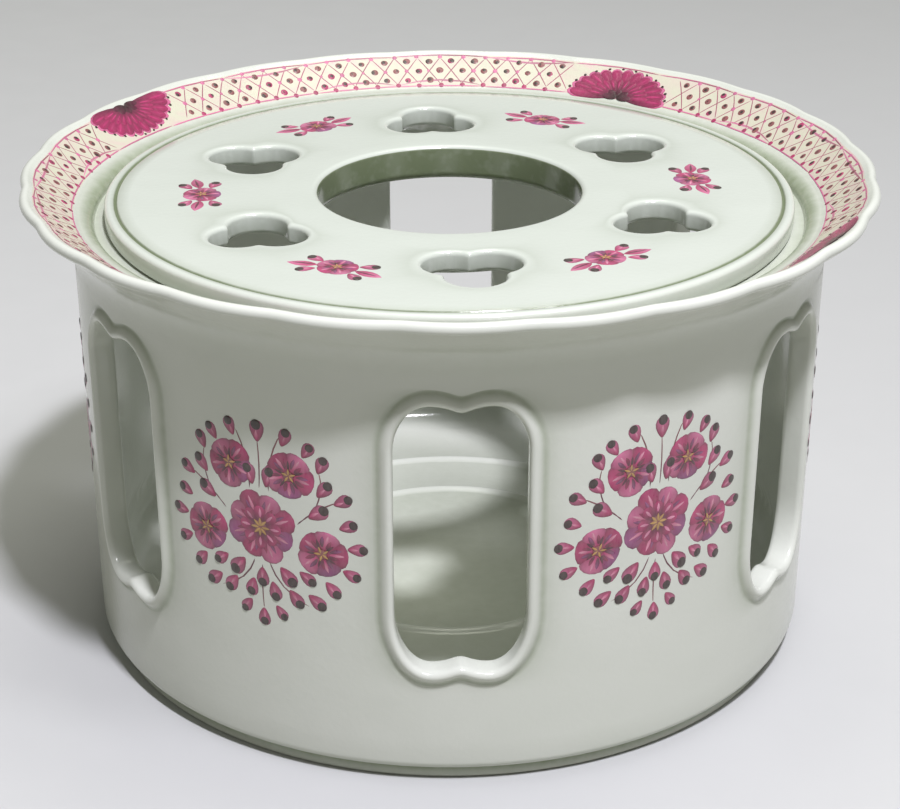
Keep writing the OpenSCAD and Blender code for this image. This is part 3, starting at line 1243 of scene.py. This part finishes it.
def dot(x: float, y: float, size: float, paint: Paint, lift: float, high: float = 0.1) -> Stroke:
    """A round touch of the brush."""
    return Stroke((x, y - size), (x, y), (x, y + size), size, Touch.DROP,
                  Colours(paint, paint, paint), high, lift)


def away(centre: Pair, turn: float, far: float) -> Pair:
    """A point at a distance from a centre, in a direction from straight up in radians."""
    return (centre[0] + math.sin(turn) * far, centre[1] + math.cos(turn) * far)


def spoke(centre: Pair, turn: float, near: float, far: float, half: float, touch: Touch,
          colours: Colours, high: float, lift: float = 0.0) -> Stroke:
    """A straight stroke that points away from a centre.

    Args:
        centre: What the stroke points away from.
        turn: Its direction from straight up, in radians.
        near: Distance of its start from the centre.
        far: Distance of its end from the centre.
        half: Half its width.
        touch: How its width runs.
        colours: Its colours.
        high: How thick the enamel is.
        lift: Height that it is laid at.

    Returns:
        The stroke.
    """
    spots = [away(centre, turn, reach) for reach in (near, (near + far) / 2, far)]
    return Stroke(*spots, half, touch, colours, high, lift)


def stem(start: Pair, bend: Pair, end: Pair) -> Stroke:
    """A fine curved line that starts dark and ends lighter."""
    return Stroke(start, bend, end, 0.15, Touch.LINE, Colours(Paint.WINE, Paint.RUST, Paint.WINE),
                  0.05)


def petal(centre: Pair, turn: float, near: float, far: float, half: float,
          tip: Paint) -> list[Stroke]:
    """One petal: a dark base that brightens outwards, with a light and two dark streaks.

    Args:
        centre: What the petal points away from.
        turn: Its direction from straight up, in radians.
        near: Distance of its base from the centre.
        far: Distance of its tip from the centre.
        half: Half its width.
        tip: Its colour at the tip.

    Returns:
        The strokes.
    """
    size = far - near
    aside = 0.5 * half / far
    streaks = ((-aside, Paint.WINE, Paint.VIOLET, 0.76), (aside, Paint.WINE, Paint.RASPBERRY, 0.68),
               (0.0, Paint.MAGENTA, Paint.BLUSH, 0.86))
    return [spoke(centre, turn, near, far, half, Touch.PETAL,
                  Colours(Paint.RASPBERRY, tip, Paint.WINE), 0.1)] + [
        spoke(centre, turn + lean, near + size * 0.2, near + size * end, half * 0.15 + 0.08,
              Touch.LEAF, Colours(first, last, first), 0.05, 0.08)
        for lean, first, last, end in streaks]


def blossom(centre: Pair, size: float, petals: int, turn: float,
            double: bool = False) -> list[Stroke]:
    """A round blossom with a streaked yellow eye, and a second ring of petals if it is double.

    Args:
        centre: Middle of the blossom.
        size: Its radius.
        petals: Number of petals.
        turn: Turn of the first petal from straight up, in radians.
        double: Whether a smaller ring of petals lies on the first.

    Returns:
        The strokes.
    """
    strokes: list[Stroke] = []
    wide = size * 0.86 * math.sin(math.pi / petals)
    between = [turn + math.tau * (index + 0.5) / petals for index in range(petals)]
    for index in range(petals):
        angle = turn + math.tau * index / petals
        reach = size * (1.0 if index % 2 else 0.93)
        tip = (Paint.ROSE, Paint.MAGENTA, Paint.VIOLET)[index % 3]
        strokes += petal(centre, angle, size * 0.1, reach, wide, tip)
        strokes.append(spoke(centre, angle + math.pi / petals, size * 0.2, size * 0.6,
                             size * 0.04 + 0.08, Touch.LEAF,
                             Colours(Paint.DARK, Paint.WINE, Paint.WINE), 0.05, 0.09))
    for angle in between if double else ():
        strokes += [
            spoke(centre, angle, size * 0.1, size * 0.58, wide * 0.55, Touch.PETAL,
                  Colours(Paint.WINE, Paint.MAGENTA, Paint.WINE), 0.06, 0.1),
            spoke(centre, angle, size * 0.26, size * 0.52, wide * 0.13, Touch.LEAF,
                  Colours(Paint.ROSE, Paint.BLUSH, Paint.ROSE), 0.04, 0.15),
        ]
    eye = size * (0.17 if double else 0.2)
    strokes.append(dot(*centre, eye, Paint.RUST, 0.13, 0.06))
    return strokes + [
        spoke(centre, angle, eye * 0.1, eye * 1.5, eye * 0.26, Touch.LEAF,
              Colours(Paint.YELLOW, Paint.YELLOW, Paint.RUST), 0.05, 0.17) for angle in between]


def bud(base: Pair, turn: float, size: float) -> list[Stroke]:
    """A single fat petal that points away from its base, with a dark bead on its tip.

    Args:
        base: Where the petal starts.
        turn: Its direction from straight up, in radians.
        size: Its length.

    Returns:
        The strokes.
    """
    return [
        spoke(base, turn, 0.0, size, size * 0.33, Touch.PETAL,
              Colours(Paint.RASPBERRY, Paint.ROSE, Paint.WINE), 0.1),
        spoke(base, turn, size * 0.12, size * 0.6, size * 0.09, Touch.LEAF,
              Colours(Paint.MAGENTA, Paint.BLUSH, Paint.MAGENTA), 0.05, 0.08),
        dot(*away(base, turn, size * 0.8), size * 0.23, Paint.DARK, 0.08),
    ]


def leaf(base: Pair, turn: float, length: float) -> list[Stroke]:
    """A pointed leaf, dark at its base, with a dark vein.

    Args:
        base: Where the leaf starts.
        turn: Its direction from straight up, in radians.
        length: Its length.

    Returns:
        The strokes.
    """
    return [
        spoke(base, turn, 0.0, length, length * 0.22, Touch.LEAF,
              Colours(Paint.RASPBERRY, Paint.ROSE, Paint.RASPBERRY), 0.1),
        spoke(base, turn, length * 0.1, length * 0.85, length * 0.03 + 0.07, Touch.LEAF,
              Colours(Paint.WINE, Paint.WINE, Paint.WINE), 0.05, 0.09),
    ]


@dataclass
class WallPosies:
    """A posy on each panel of the wall between two windows.

    A bud is its base's x and y, its turn from straight up and its length. The buds of the
    right half are mirrored, and a middle bud has no x.
    """

    body: StandBody
    seed: int = 11
    drop: float = 1.0
    blossom_size: float = 7.2
    small_size: float = 4.8
    buds: tuple[tuple[float, float, float, float], ...] = (
        (3.6, -7.2, 2.45, 4.4), (7.4, -7.4, 2.2, 3.6), (1.9, -10.6, 2.9, 3.8),
        (5.4, -11.4, 2.5, 3.9), (9.0, -11.8, 2.2, 3.9), (12.4, -8.6, 2.4, 3.7),
        (15.6, -5.8, 2.0, 3.5), (16.4, -1.6, 1.5, 3.6), (15.0, 2.2, 1.2, 3.5),
        (9.4, 3.6, 1.0, 4.2), (14.2, 6.8, 1.1, 3.6), (11.2, 8.0, 0.7, 3.8),
        (11.4, 12.4, 0.4, 3.6), (8.6, 15.0, 0.6, 3.4), (4.8, 16.6, 0.35, 3.6),
        (1.4, 8.0, 0.25, 4.0), (2.6, -15.2, 2.5, 3.2))
    middle_buds: tuple[tuple[float, float, float], ...] = (
        (16.4, 0.0, 4.2), (-8.0, math.pi, 3.8), (-16.2, math.pi, 3.6))

    def pattern(self) -> list[Stroke]:
        """One posy, symmetrical about its middle.

        Returns:
            The strokes: stems, buds all round, four small blossoms and a double one.
        """
        big, small = self.blossom_size, self.small_size
        strokes = [stem((0.0, big), (0.4, big + 5.0), (0.0, 17.0)),
                   stem((0.0, -big), (-0.4, -big - 4.0), (0.0, -16.5))]
        for side in (-1.0, 1.0):
            strokes += [
                stem((side * 1.5, -big + 0.5), (side * 3.0, -big - 4.5), (side * 9.0, -14.0)),
                stem((side * 2.0, big), (side * 1.6, big + 6.0), (side * 4.6, 18.4)),
                stem((side * big, 2.0), (side * 10.5, 5.5), (side * 14.6, 7.4)),
                stem((side * 10.8, 5.5), (side * 12.6, 9.5), (side * 11.6, 12.6)),
            ]
            for x, y, turn, size in self.buds:
                strokes += bud((side * x, y), side * turn, size)
            strokes += blossom((side * (big + small - 0.2), -3.0), small, 5, side * 0.3)
            strokes += blossom((side * (small * 1.25), big + small - 0.8), small, 5, side * 0.6)
        strokes += blossom((0.0, 0.0), big, 8, math.pi / 8, True)
        for y, turn, size in self.middle_buds:
            strokes += bud((0.0, y), turn, size)
        return strokes

    def place(self, panel: float, u: Array, v: Array, high: Array) -> Array:
        """Wraps the flat pattern round the wall at one panel.

        Args:
            panel: The panel's angle from the front, in radians.
            u: Length along the wall, towards the right.
            v: Height over the pattern's middle.
            high: Height over the glaze.

        Returns:
            The points on the wall.
        """
        z = (self.body.window_low + self.body.window_high) / 2 - self.drop + v
        radius = self.body.wall_at(z)
        return turned(radius + high - SUNK, panel + u / radius, z)

    def build(self, material: bpy.types.Material) -> bpy.types.Object:
        """Paints the posies.

        Args:
            material: Their enamel.

        Returns:
            The piece.
        """
        shell = Shell("wall_posy_paint")
        work = Brushwork(shell, self.seed)
        pattern = self.pattern()
        for panel in self.body.panels:
            work.lay(pattern, partial(self.place, panel))
        return shell.build("paint", material, "wall_posies")


@dataclass
class RimPaint:
    """The painted band inside the rim: its ground, lattice and dots, and half rosettes."""

    body: StandBody
    foot_margin: float = 0.5
    lip_margin: float = 0.7
    ground_high: float = 0.05
    ground_sunk: float = 0.02
    ground_seed: int = 5
    dot_seed: int = 8
    band_seed: int = 23
    band_shake: float = 0.16
    fan_seed: int = 31
    fan_shake: float = 0.06
    cells: int = 96
    line_half: float = 0.13
    line_end: float = 0.9
    rosettes: int = 4
    rosette_turn: float = 58.0
    rosette_deep: float = 7.9
    rosette_wide: float = 12.0
    rosette_margin: float = 0.4
    rosette_petals: int = 13
    rosette_spread: float = 86.0

    def __post_init__(self) -> None:
        """Works out where the band and the half rosettes lie."""
        self.slope = math.radians(self.body.band_slope)
        self.inner = self.body.band_foot + self.foot_margin
        self.outer = self.body.band_top[0] - self.lip_margin
        self.middle = (self.inner + self.outer) / 2
        self.deep = (self.outer - self.inner) / math.cos(self.slope)
        self.centres = (math.radians(self.rosette_turn)
                        + math.tau * np.arange(self.rosettes) / self.rosettes)

    def place(self, u: Array, v: Array, high: Array) -> Array:
        """Puts pattern points on the sloping band.

        Args:
            u: Length round the band, measured at its middle.
            v: Distance up the slope from its inner edge.
            high: Height over the glaze, square to the slope.

        Returns:
            The points on the band.
        """
        angle = u / self.middle
        radius = self.inner + v * math.cos(self.slope)
        level = self.body.band_at(radius) + high * math.cos(self.slope)
        return turned(self.body.scallop(radius, angle) - high * math.sin(self.slope), angle, level)

    def ground(self, shell: Shell) -> None:
        """Adds the thin cream ground all round, closed top and bottom, with rosy patches.

        Args:
            shell: Receives the ground.
        """
        rows = 9
        v = joined(np.linspace(0.0, self.deep, rows), np.linspace(self.deep, 0.0, rows))
        high = joined([0.0], np.full(rows - 2, self.ground_high), [0.0],
                      np.full(rows, -self.ground_sunk))
        u = self.body.angles * self.middle
        points = self.place(u[None, :], v[:, None], high[:, None])
        patches = np.random.default_rng(self.ground_seed).random((2 * rows, len(u)))
        edge = np.abs(v[:, None] / self.deep - 0.5) * 2
        rosy = (patches ** 2 * (0.25 + 0.45 * edge ** 4))[..., None]
        cream, blush = np.array(Paint.CREAM.value), np.array(Paint.BLUSH.value)
        shell.grid(points, cream + (blush - cream) * rosy, close_rows=True, close_columns=True)

    def clear(self, u: float, gap: float) -> bool:
        """Whether a place round the band is clear of the half rosettes."""
        off = np.abs((u / self.middle - self.centres + math.pi) % math.tau - math.pi)
        return bool(np.min(off) * self.middle > self.rosette_wide + gap)

    def cell(self, u: float, pitch: float, hand: np.random.Generator) -> list[Stroke]:
        """One cell of the lattice: two crossing lines, and dots in and beside it.

        Args:
            u: The place round the band where the lines cross.
            pitch: Distance from one crossing to the next.
            hand: Varies the dots.

        Returns:
            The strokes that are clear of the half rosettes.
        """
        deep, aside = self.deep, u + pitch / 2
        strokes: list[Stroke] = []
        spots: list[Pair] = []
        if self.clear(u, 1.0):
            for side in (-0.5, 0.5):
                ends = ((u - side * pitch, self.line_end), (u, deep * 0.5),
                        (u + side * pitch, deep - self.line_end))
                strokes.append(Stroke(*ends, self.line_half, Touch.LINE,
                                      Colours(Paint.RUST, Paint.RUST, Paint.ROSE), 0.04, 0.05))
            if hand.random() < 0.7:
                strokes.append(dot(u, deep * 0.5, hand.uniform(0.35, 0.6), Paint.ROSE, 0.05, 0.06))
            spots += [(u, deep * 0.21), (u, deep * 0.79)]
        if self.clear(aside, 0.6):
            spots.append((aside, deep * 0.5))
            strokes.append(dot(aside, 0.6, 0.6, Paint.RASPBERRY, 0.05, 0.05))
            strokes.append(dot(aside, deep - 0.6, 0.5, Paint.ROSE, 0.05, 0.05))
        for x, y in spots:
            ring = Paint.RASPBERRY if hand.random() < 0.25 else Paint.RUST
            strokes.append(dot(x, y, hand.uniform(0.66, 0.86), ring, 0.05))
            strokes.append(dot(x, y, hand.uniform(0.4, 0.56), Paint.DARK, 0.1, 0.06))
        return strokes

    def borders(self) -> list[Stroke]:
        """Lines along both edges of the band, and a broad arc in each lobe.

        The arcs stand two by two on the inner and on the outer edge.

        Returns:
            The strokes, where the arcs are clear of the half rosettes.
        """
        deep, lobe = self.deep, math.tau * self.middle / self.body.lobes
        strokes: list[Stroke] = []
        for index in range(self.body.lobes):
            left, middle, right = ((index + share) * lobe for share in (-0.5, 0.0, 0.5))
            for line, bow, tint in ((deep - 0.3, 0.2, Paint.RUST), (0.3, 0.0, Paint.ROSE)):
                ends = ((left, line - bow), (middle, line + bow), (right, line - bow))
                strokes.append(Stroke(*ends, 0.15, Touch.LINE,
                                      Colours(tint, Paint.ROSE, Paint.ROSE), 0.05, 0.05))
            if self.clear(middle, lobe * 0.5):
                start, peak = (0.4, 0.36 * deep) if index % 4 < 2 else (deep - 0.4, 0.64 * deep)
                ends = ((left, start), (middle, peak), (right, start))
                strokes.append(Stroke(*ends, 0.3, Touch.LEAF,
                                      Colours(Paint.RUST, Paint.ROSE, Paint.BLUSH), 0.04, 0.04))
        return strokes

    def lattice(self) -> list[Stroke]:
        """The whole pattern of the band.

        Returns:
            The strokes of the cells all round, and then those of the borders.
        """
        pitch = math.tau * self.middle / self.cells
        hand = np.random.default_rng(self.dot_seed)
        cells = [self.cell((index + 0.5) * pitch, pitch, hand) for index in range(self.cells)]
        return [stroke for cell in cells for stroke in cell] + self.borders()

    def rosette(self, u: float, outer: bool) -> list[Stroke]:
        """A half rosette that fans out from an edge of the band, wider than it is deep.

        Args:
            u: Its place round the band.
            outer: Whether it stands on the band's outer edge and fans inwards.

        Returns:
            The strokes: a raspberry wash with rosy tips, dark overlapping petals with bright
            middles, a shorter row of petals with beads round them, and a dark heart.
        """
        stretch = self.rosette_wide / self.rosette_deep

        def fan(angle: float, near: float, far: float, half: float, touch: Touch,
                colours: Colours, high: float, lift: float) -> Stroke:
            """One stroke of the fan, drawn round and then stretched along the band.

            Args:
                angle: Its direction from the band's width, in radians.
                near: Its start, as a share of the fan's depth.
                far: Its end, as a share of the fan's depth.
                half: Half its width.
                touch: How its width runs.
                colours: Its colours.
                high: How thick the enamel is.
                lift: Height that it is laid at.

            Returns:
                The stroke.
            """
            spots = []
            for reach in (near, (near + far) / 2, far):
                x, y = away((0.0, 0.0), angle, reach * self.rosette_deep)
                rise = self.rosette_margin + y
                spots.append((u + x * stretch, self.deep - rise if outer else rise))
            return Stroke(*spots, half, touch, colours, high, lift)

        wash = Colours(Paint.RASPBERRY, Paint.ROSE, Paint.RASPBERRY)
        petals = Colours(Paint.WINE, Paint.RASPBERRY, Paint.WINE)
        middles = Colours(Paint.RASPBERRY, Paint.MAGENTA, Paint.RASPBERRY)
        short = Colours(Paint.WINE, Paint.RASPBERRY, Paint.DARK)
        gleams = Colours(Paint.MAGENTA, Paint.MAGENTA, Paint.RASPBERRY)
        beads = Colours(Paint.DARK, Paint.DARK, Paint.DARK)
        heart = Colours(Paint.DARK, Paint.WINE, Paint.DARK)
        turns = np.radians(np.linspace(-self.rosette_spread, self.rosette_spread,
                                       self.rosette_petals))
        between = (turns[:-1] + turns[1:]) / 2
        rows = (
            (turns, [(0.2, 1.04, 1.5, Touch.PETAL, wash, 0.04, 0.05)]),
            (turns, [(0.1, 0.98, 1.4, Touch.PETAL, petals, 0.08, 0.08),
                     (0.58, 0.92, 0.3, Touch.LEAF, middles, 0.04, 0.15)]),
            (between, [(0.08, 0.66, 0.85, Touch.PETAL, short, 0.06, 0.14),
                       (0.34, 0.58, 0.2, Touch.LEAF, gleams, 0.03, 0.19),
                       (0.99, 1.05, 0.34, Touch.DROP, beads, 0.06, 0.12)]),
            (turns[::3], [(0.0, 0.3, 0.8, Touch.DROP, heart, 0.06, 0.18)]),
        )
        return [fan(angle, *kind) for angles, kinds in rows for angle in angles for kind in kinds]

    def build(self, enamel: bpy.types.Material, ruby: bpy.types.Material) -> list[bpy.types.Object]:
        """Paints the band.

        Args:
            enamel: Finish of the ground and its pattern.
            ruby: Finish of the half rosettes.

        Returns:
            The two pieces.
        """
        band = Shell("rim_band_paint")
        self.ground(band)
        Brushwork(band, self.band_seed, self.band_shake).lay(self.lattice(), self.place)
        fans = Shell("rim_rosette_paint")
        strokes = [stroke for index, centre in enumerate(self.centres)
                   for stroke in self.rosette(centre * self.middle, index % 2 == 0)]
        Brushwork(fans, self.fan_seed, self.fan_shake).lay(strokes, self.place)
        return [band.build("paint", enamel, "rim_band"), fans.build("paint", ruby, "rim_rosettes")]


@dataclass
class LidSprigs:
    """A small sprig between each two trefoil holes of the lid."""

    lid: Lid
    seed: int = 47
    size: float = 4.0
    leaf_size: float = 5.8
    bud_sizes: Pair = (3.6, 3.7)
    ring_out: float = 1.0

    def pattern(self) -> list[Stroke]:
        """One sprig, symmetrical about its middle.

        Returns:
            The strokes: a pair of leaves, two pairs of buds and a blossom.
        """
        strokes: list[Stroke] = []
        for side in (-1.0, 1.0):
            strokes += leaf((side * (self.size - 0.4), 0.4), side * 1.4, self.leaf_size)
            strokes += bud((side * (self.size - 0.7), 2.0), side * 0.95, self.bud_sizes[0])
            strokes += bud((side * (self.size - 0.4), -1.6), side * 1.95, self.bud_sizes[1])
        return strokes + blossom((0.0, 0.0), self.size, 5, math.pi / 5)

    def place(self, centre: float, u: Array, v: Array, high: Array) -> Array:
        """Lays the flat pattern on the plate, its top pointing outwards.

        Args:
            centre: The sprig's angle from the front, in radians.
            u: Distance to the right of its middle.
            v: Distance outwards from its middle.
            high: Height over the glaze.

        Returns:
            The points on the plate.
        """
        ring = (self.lid.collar_radius + self.lid.bead_radius) / 2 + self.ring_out
        lean = np.arctan2(u, ring + v)
        return turned(np.hypot(ring + v, u), centre + lean, self.lid.top + high - SUNK)

    def build(self, material: bpy.types.Material) -> bpy.types.Object:
        """Paints the sprigs.

        Args:
            material: Their enamel.

        Returns:
            The piece.
        """
        shell = Shell("lid_sprig_paint")
        work = Brushwork(shell, self.seed)
        pattern = self.pattern()
        for centre in self.lid.centres + self.lid.step / 2:
            work.lay(pattern, partial(self.place, centre))
        return shell.build("paint", material, "lid_sprigs")


LAMP_TINT = (0.99, 0.985, 1.04)
ROOM_TINT = (0.985, 1.0, 0.86)


@dataclass(frozen=True)
class Lamp:
    """A square soft light that faces the stand.

    Its turn round the stand from the front and its rise over the horizon are in degrees, its
    reach and its size in metres, and its power in watts.
    """

    name: str
    turn: float
    rise: float
    reach: float
    power: float
    size: float
    tint: Colour


@dataclass
class Studio:
    """The camera, the lights, the table and the world."""

    photo_width: float = 900.0
    focal: float = 2168.0
    sensor: float = 36.0
    distance: float = 0.440
    elevation: float = 24.6
    azimuth: float = -1.6
    aim: Colour = (0.0001, 0.0, 0.0425)
    lit: Colour = (0.0, 0.0, 0.05)
    table_half: float = 6.0
    room_tint: Colour = ROOM_TINT
    room_level: float = 0.17
    lamps: tuple[Lamp, ...] = (
        Lamp("key", turn=17.5, rise=62.4, reach=1.15, power=11.7, size=0.09, tint=LAMP_TINT),
        Lamp("second", turn=48.0, rise=61.0, reach=1.25, power=1.7, size=0.16, tint=LAMP_TINT),
        Lamp("top", turn=150.0, rise=78.0, reach=1.4, power=6.4, size=0.8, tint=ROOM_TINT),
    )

    def facing(self, name: str, data: bpy.types.ID, spot: Colour, turn: float, rise: float,
               reach: float) -> bpy.types.Object:
        """Puts a camera or a light in the scene so that it faces a spot.

        Args:
            name: Its name.
            data: The camera or the light.
            spot: What it faces.
            turn: Its direction round the spot, in degrees from the front towards the right.
            rise: Its height over the horizon, in degrees.
            reach: Its distance from the spot, in metres.

        Returns:
            The camera or the light as an object.
        """
        a, e = math.radians(turn), math.radians(rise)
        back = Vector((math.sin(a) * math.cos(e), -math.cos(a) * math.cos(e), math.sin(e)))
        item = bpy.data.objects.new(name, data)
        item.location = Vector(spot) + back * reach
        item.rotation_mode = "QUATERNION"
        item.rotation_quaternion = (-back).to_track_quat("-Z", "Y")
        bpy.context.scene.collection.objects.link(item)
        return item

    def camera(self) -> None:
        """Sets the camera at the photograph's angle."""
        data = bpy.data.cameras.new("camera")
        data.sensor_width = self.sensor
        data.lens = self.focal / self.photo_width * self.sensor
        data.clip_start = 0.01
        bpy.context.scene.camera = self.facing("camera", data, self.aim, self.azimuth,
                                               self.elevation, self.distance)

    def light(self, lamp: Lamp) -> None:
        """Puts one lamp in the studio.

        Args:
            lamp: Its place, size, power and colour.
        """
        data = bpy.data.lights.new(lamp.name, "AREA")
        data.energy = lamp.power
        data.size = lamp.size
        data.color = lamp.tint
        self.facing(lamp.name, data, self.lit, lamp.turn, lamp.rise, lamp.reach)

    def table(self) -> None:
        """Adds the table top, a wide flat sheet just under the foot ring."""
        mesh = bpy.data.meshes.new("table_top")
        side = self.table_half
        mesh.from_pydata([(-side, -side, 0.0), (side, -side, 0.0), (side, side, 0.0),
                          (-side, side, 0.0)], [], [(0, 1, 2, 3)])
        mesh.materials.append(TableTop().build())
        table = bpy.data.objects.new("table_top", mesh)
        bpy.context.scene.collection.objects.link(table)

    def world(self) -> None:
        """Gives the room an even pale light."""
        world = bpy.data.worlds.new("room")
        bpy.context.scene.world = world
        world.use_nodes = True
        shade = world.node_tree.nodes["Background"]
        shade.inputs["Color"].default_value = (*self.room_tint, 1.0)
        shade.inputs["Strength"].default_value = self.room_level

    def build(self) -> None:
        """Sets up the whole studio."""
        self.camera()
        self.table()
        self.world()
        for lamp in self.lamps:
            self.light(lamp)
        bpy.context.scene.view_settings.view_transform = "Standard"


def main() -> None:
    """Lights the stand, builds and paints it piece by piece, and reports each piece."""
    logging.basicConfig(level=logging.INFO, format="%(name)s: %(message)s")
    _, stand_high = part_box("stand_body")
    lid_low, lid_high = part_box("lid")
    lid_top = lid_high[2] / MM
    body = StandBody(lip_radius=stand_high[0] / MM, height=stand_high[2] / MM, lid_top=lid_top)
    lid = Lid(top=lid_top, radius=lid_high[0] / MM, low=lid_low[2] / MM)
    # The lid's glaze is a darker copy of the body's: painted shade that holds down its brightly lit
    # top.
    lid_shaded_glaze = Glaze("lid_shaded_glaze", clear=srgb("D6DBD5"), shaded=srgb("D1D7CF"),
                      pooled_and_shaded=srgb("7A8569"))
    Studio().build()
    pieces = [
        body.build(Glaze("body_glaze").build()),
        lid.build(lid_shaded_glaze.build()),
        WallPosies(body).build(Enamel("posy_enamel").build()),
        *RimPaint(body).build(Enamel("band_enamel", streak=0.25).build(),
                              Enamel("rosette_enamel", streak=0.16).build()),
        LidSprigs(lid).build(Enamel("sprig_enamel").build()),
    ]
    for piece in pieces:
        LOG.info("%s: %d faces", piece.name, len(piece.data.polygons))


if __name__ == "__main__":
    main()
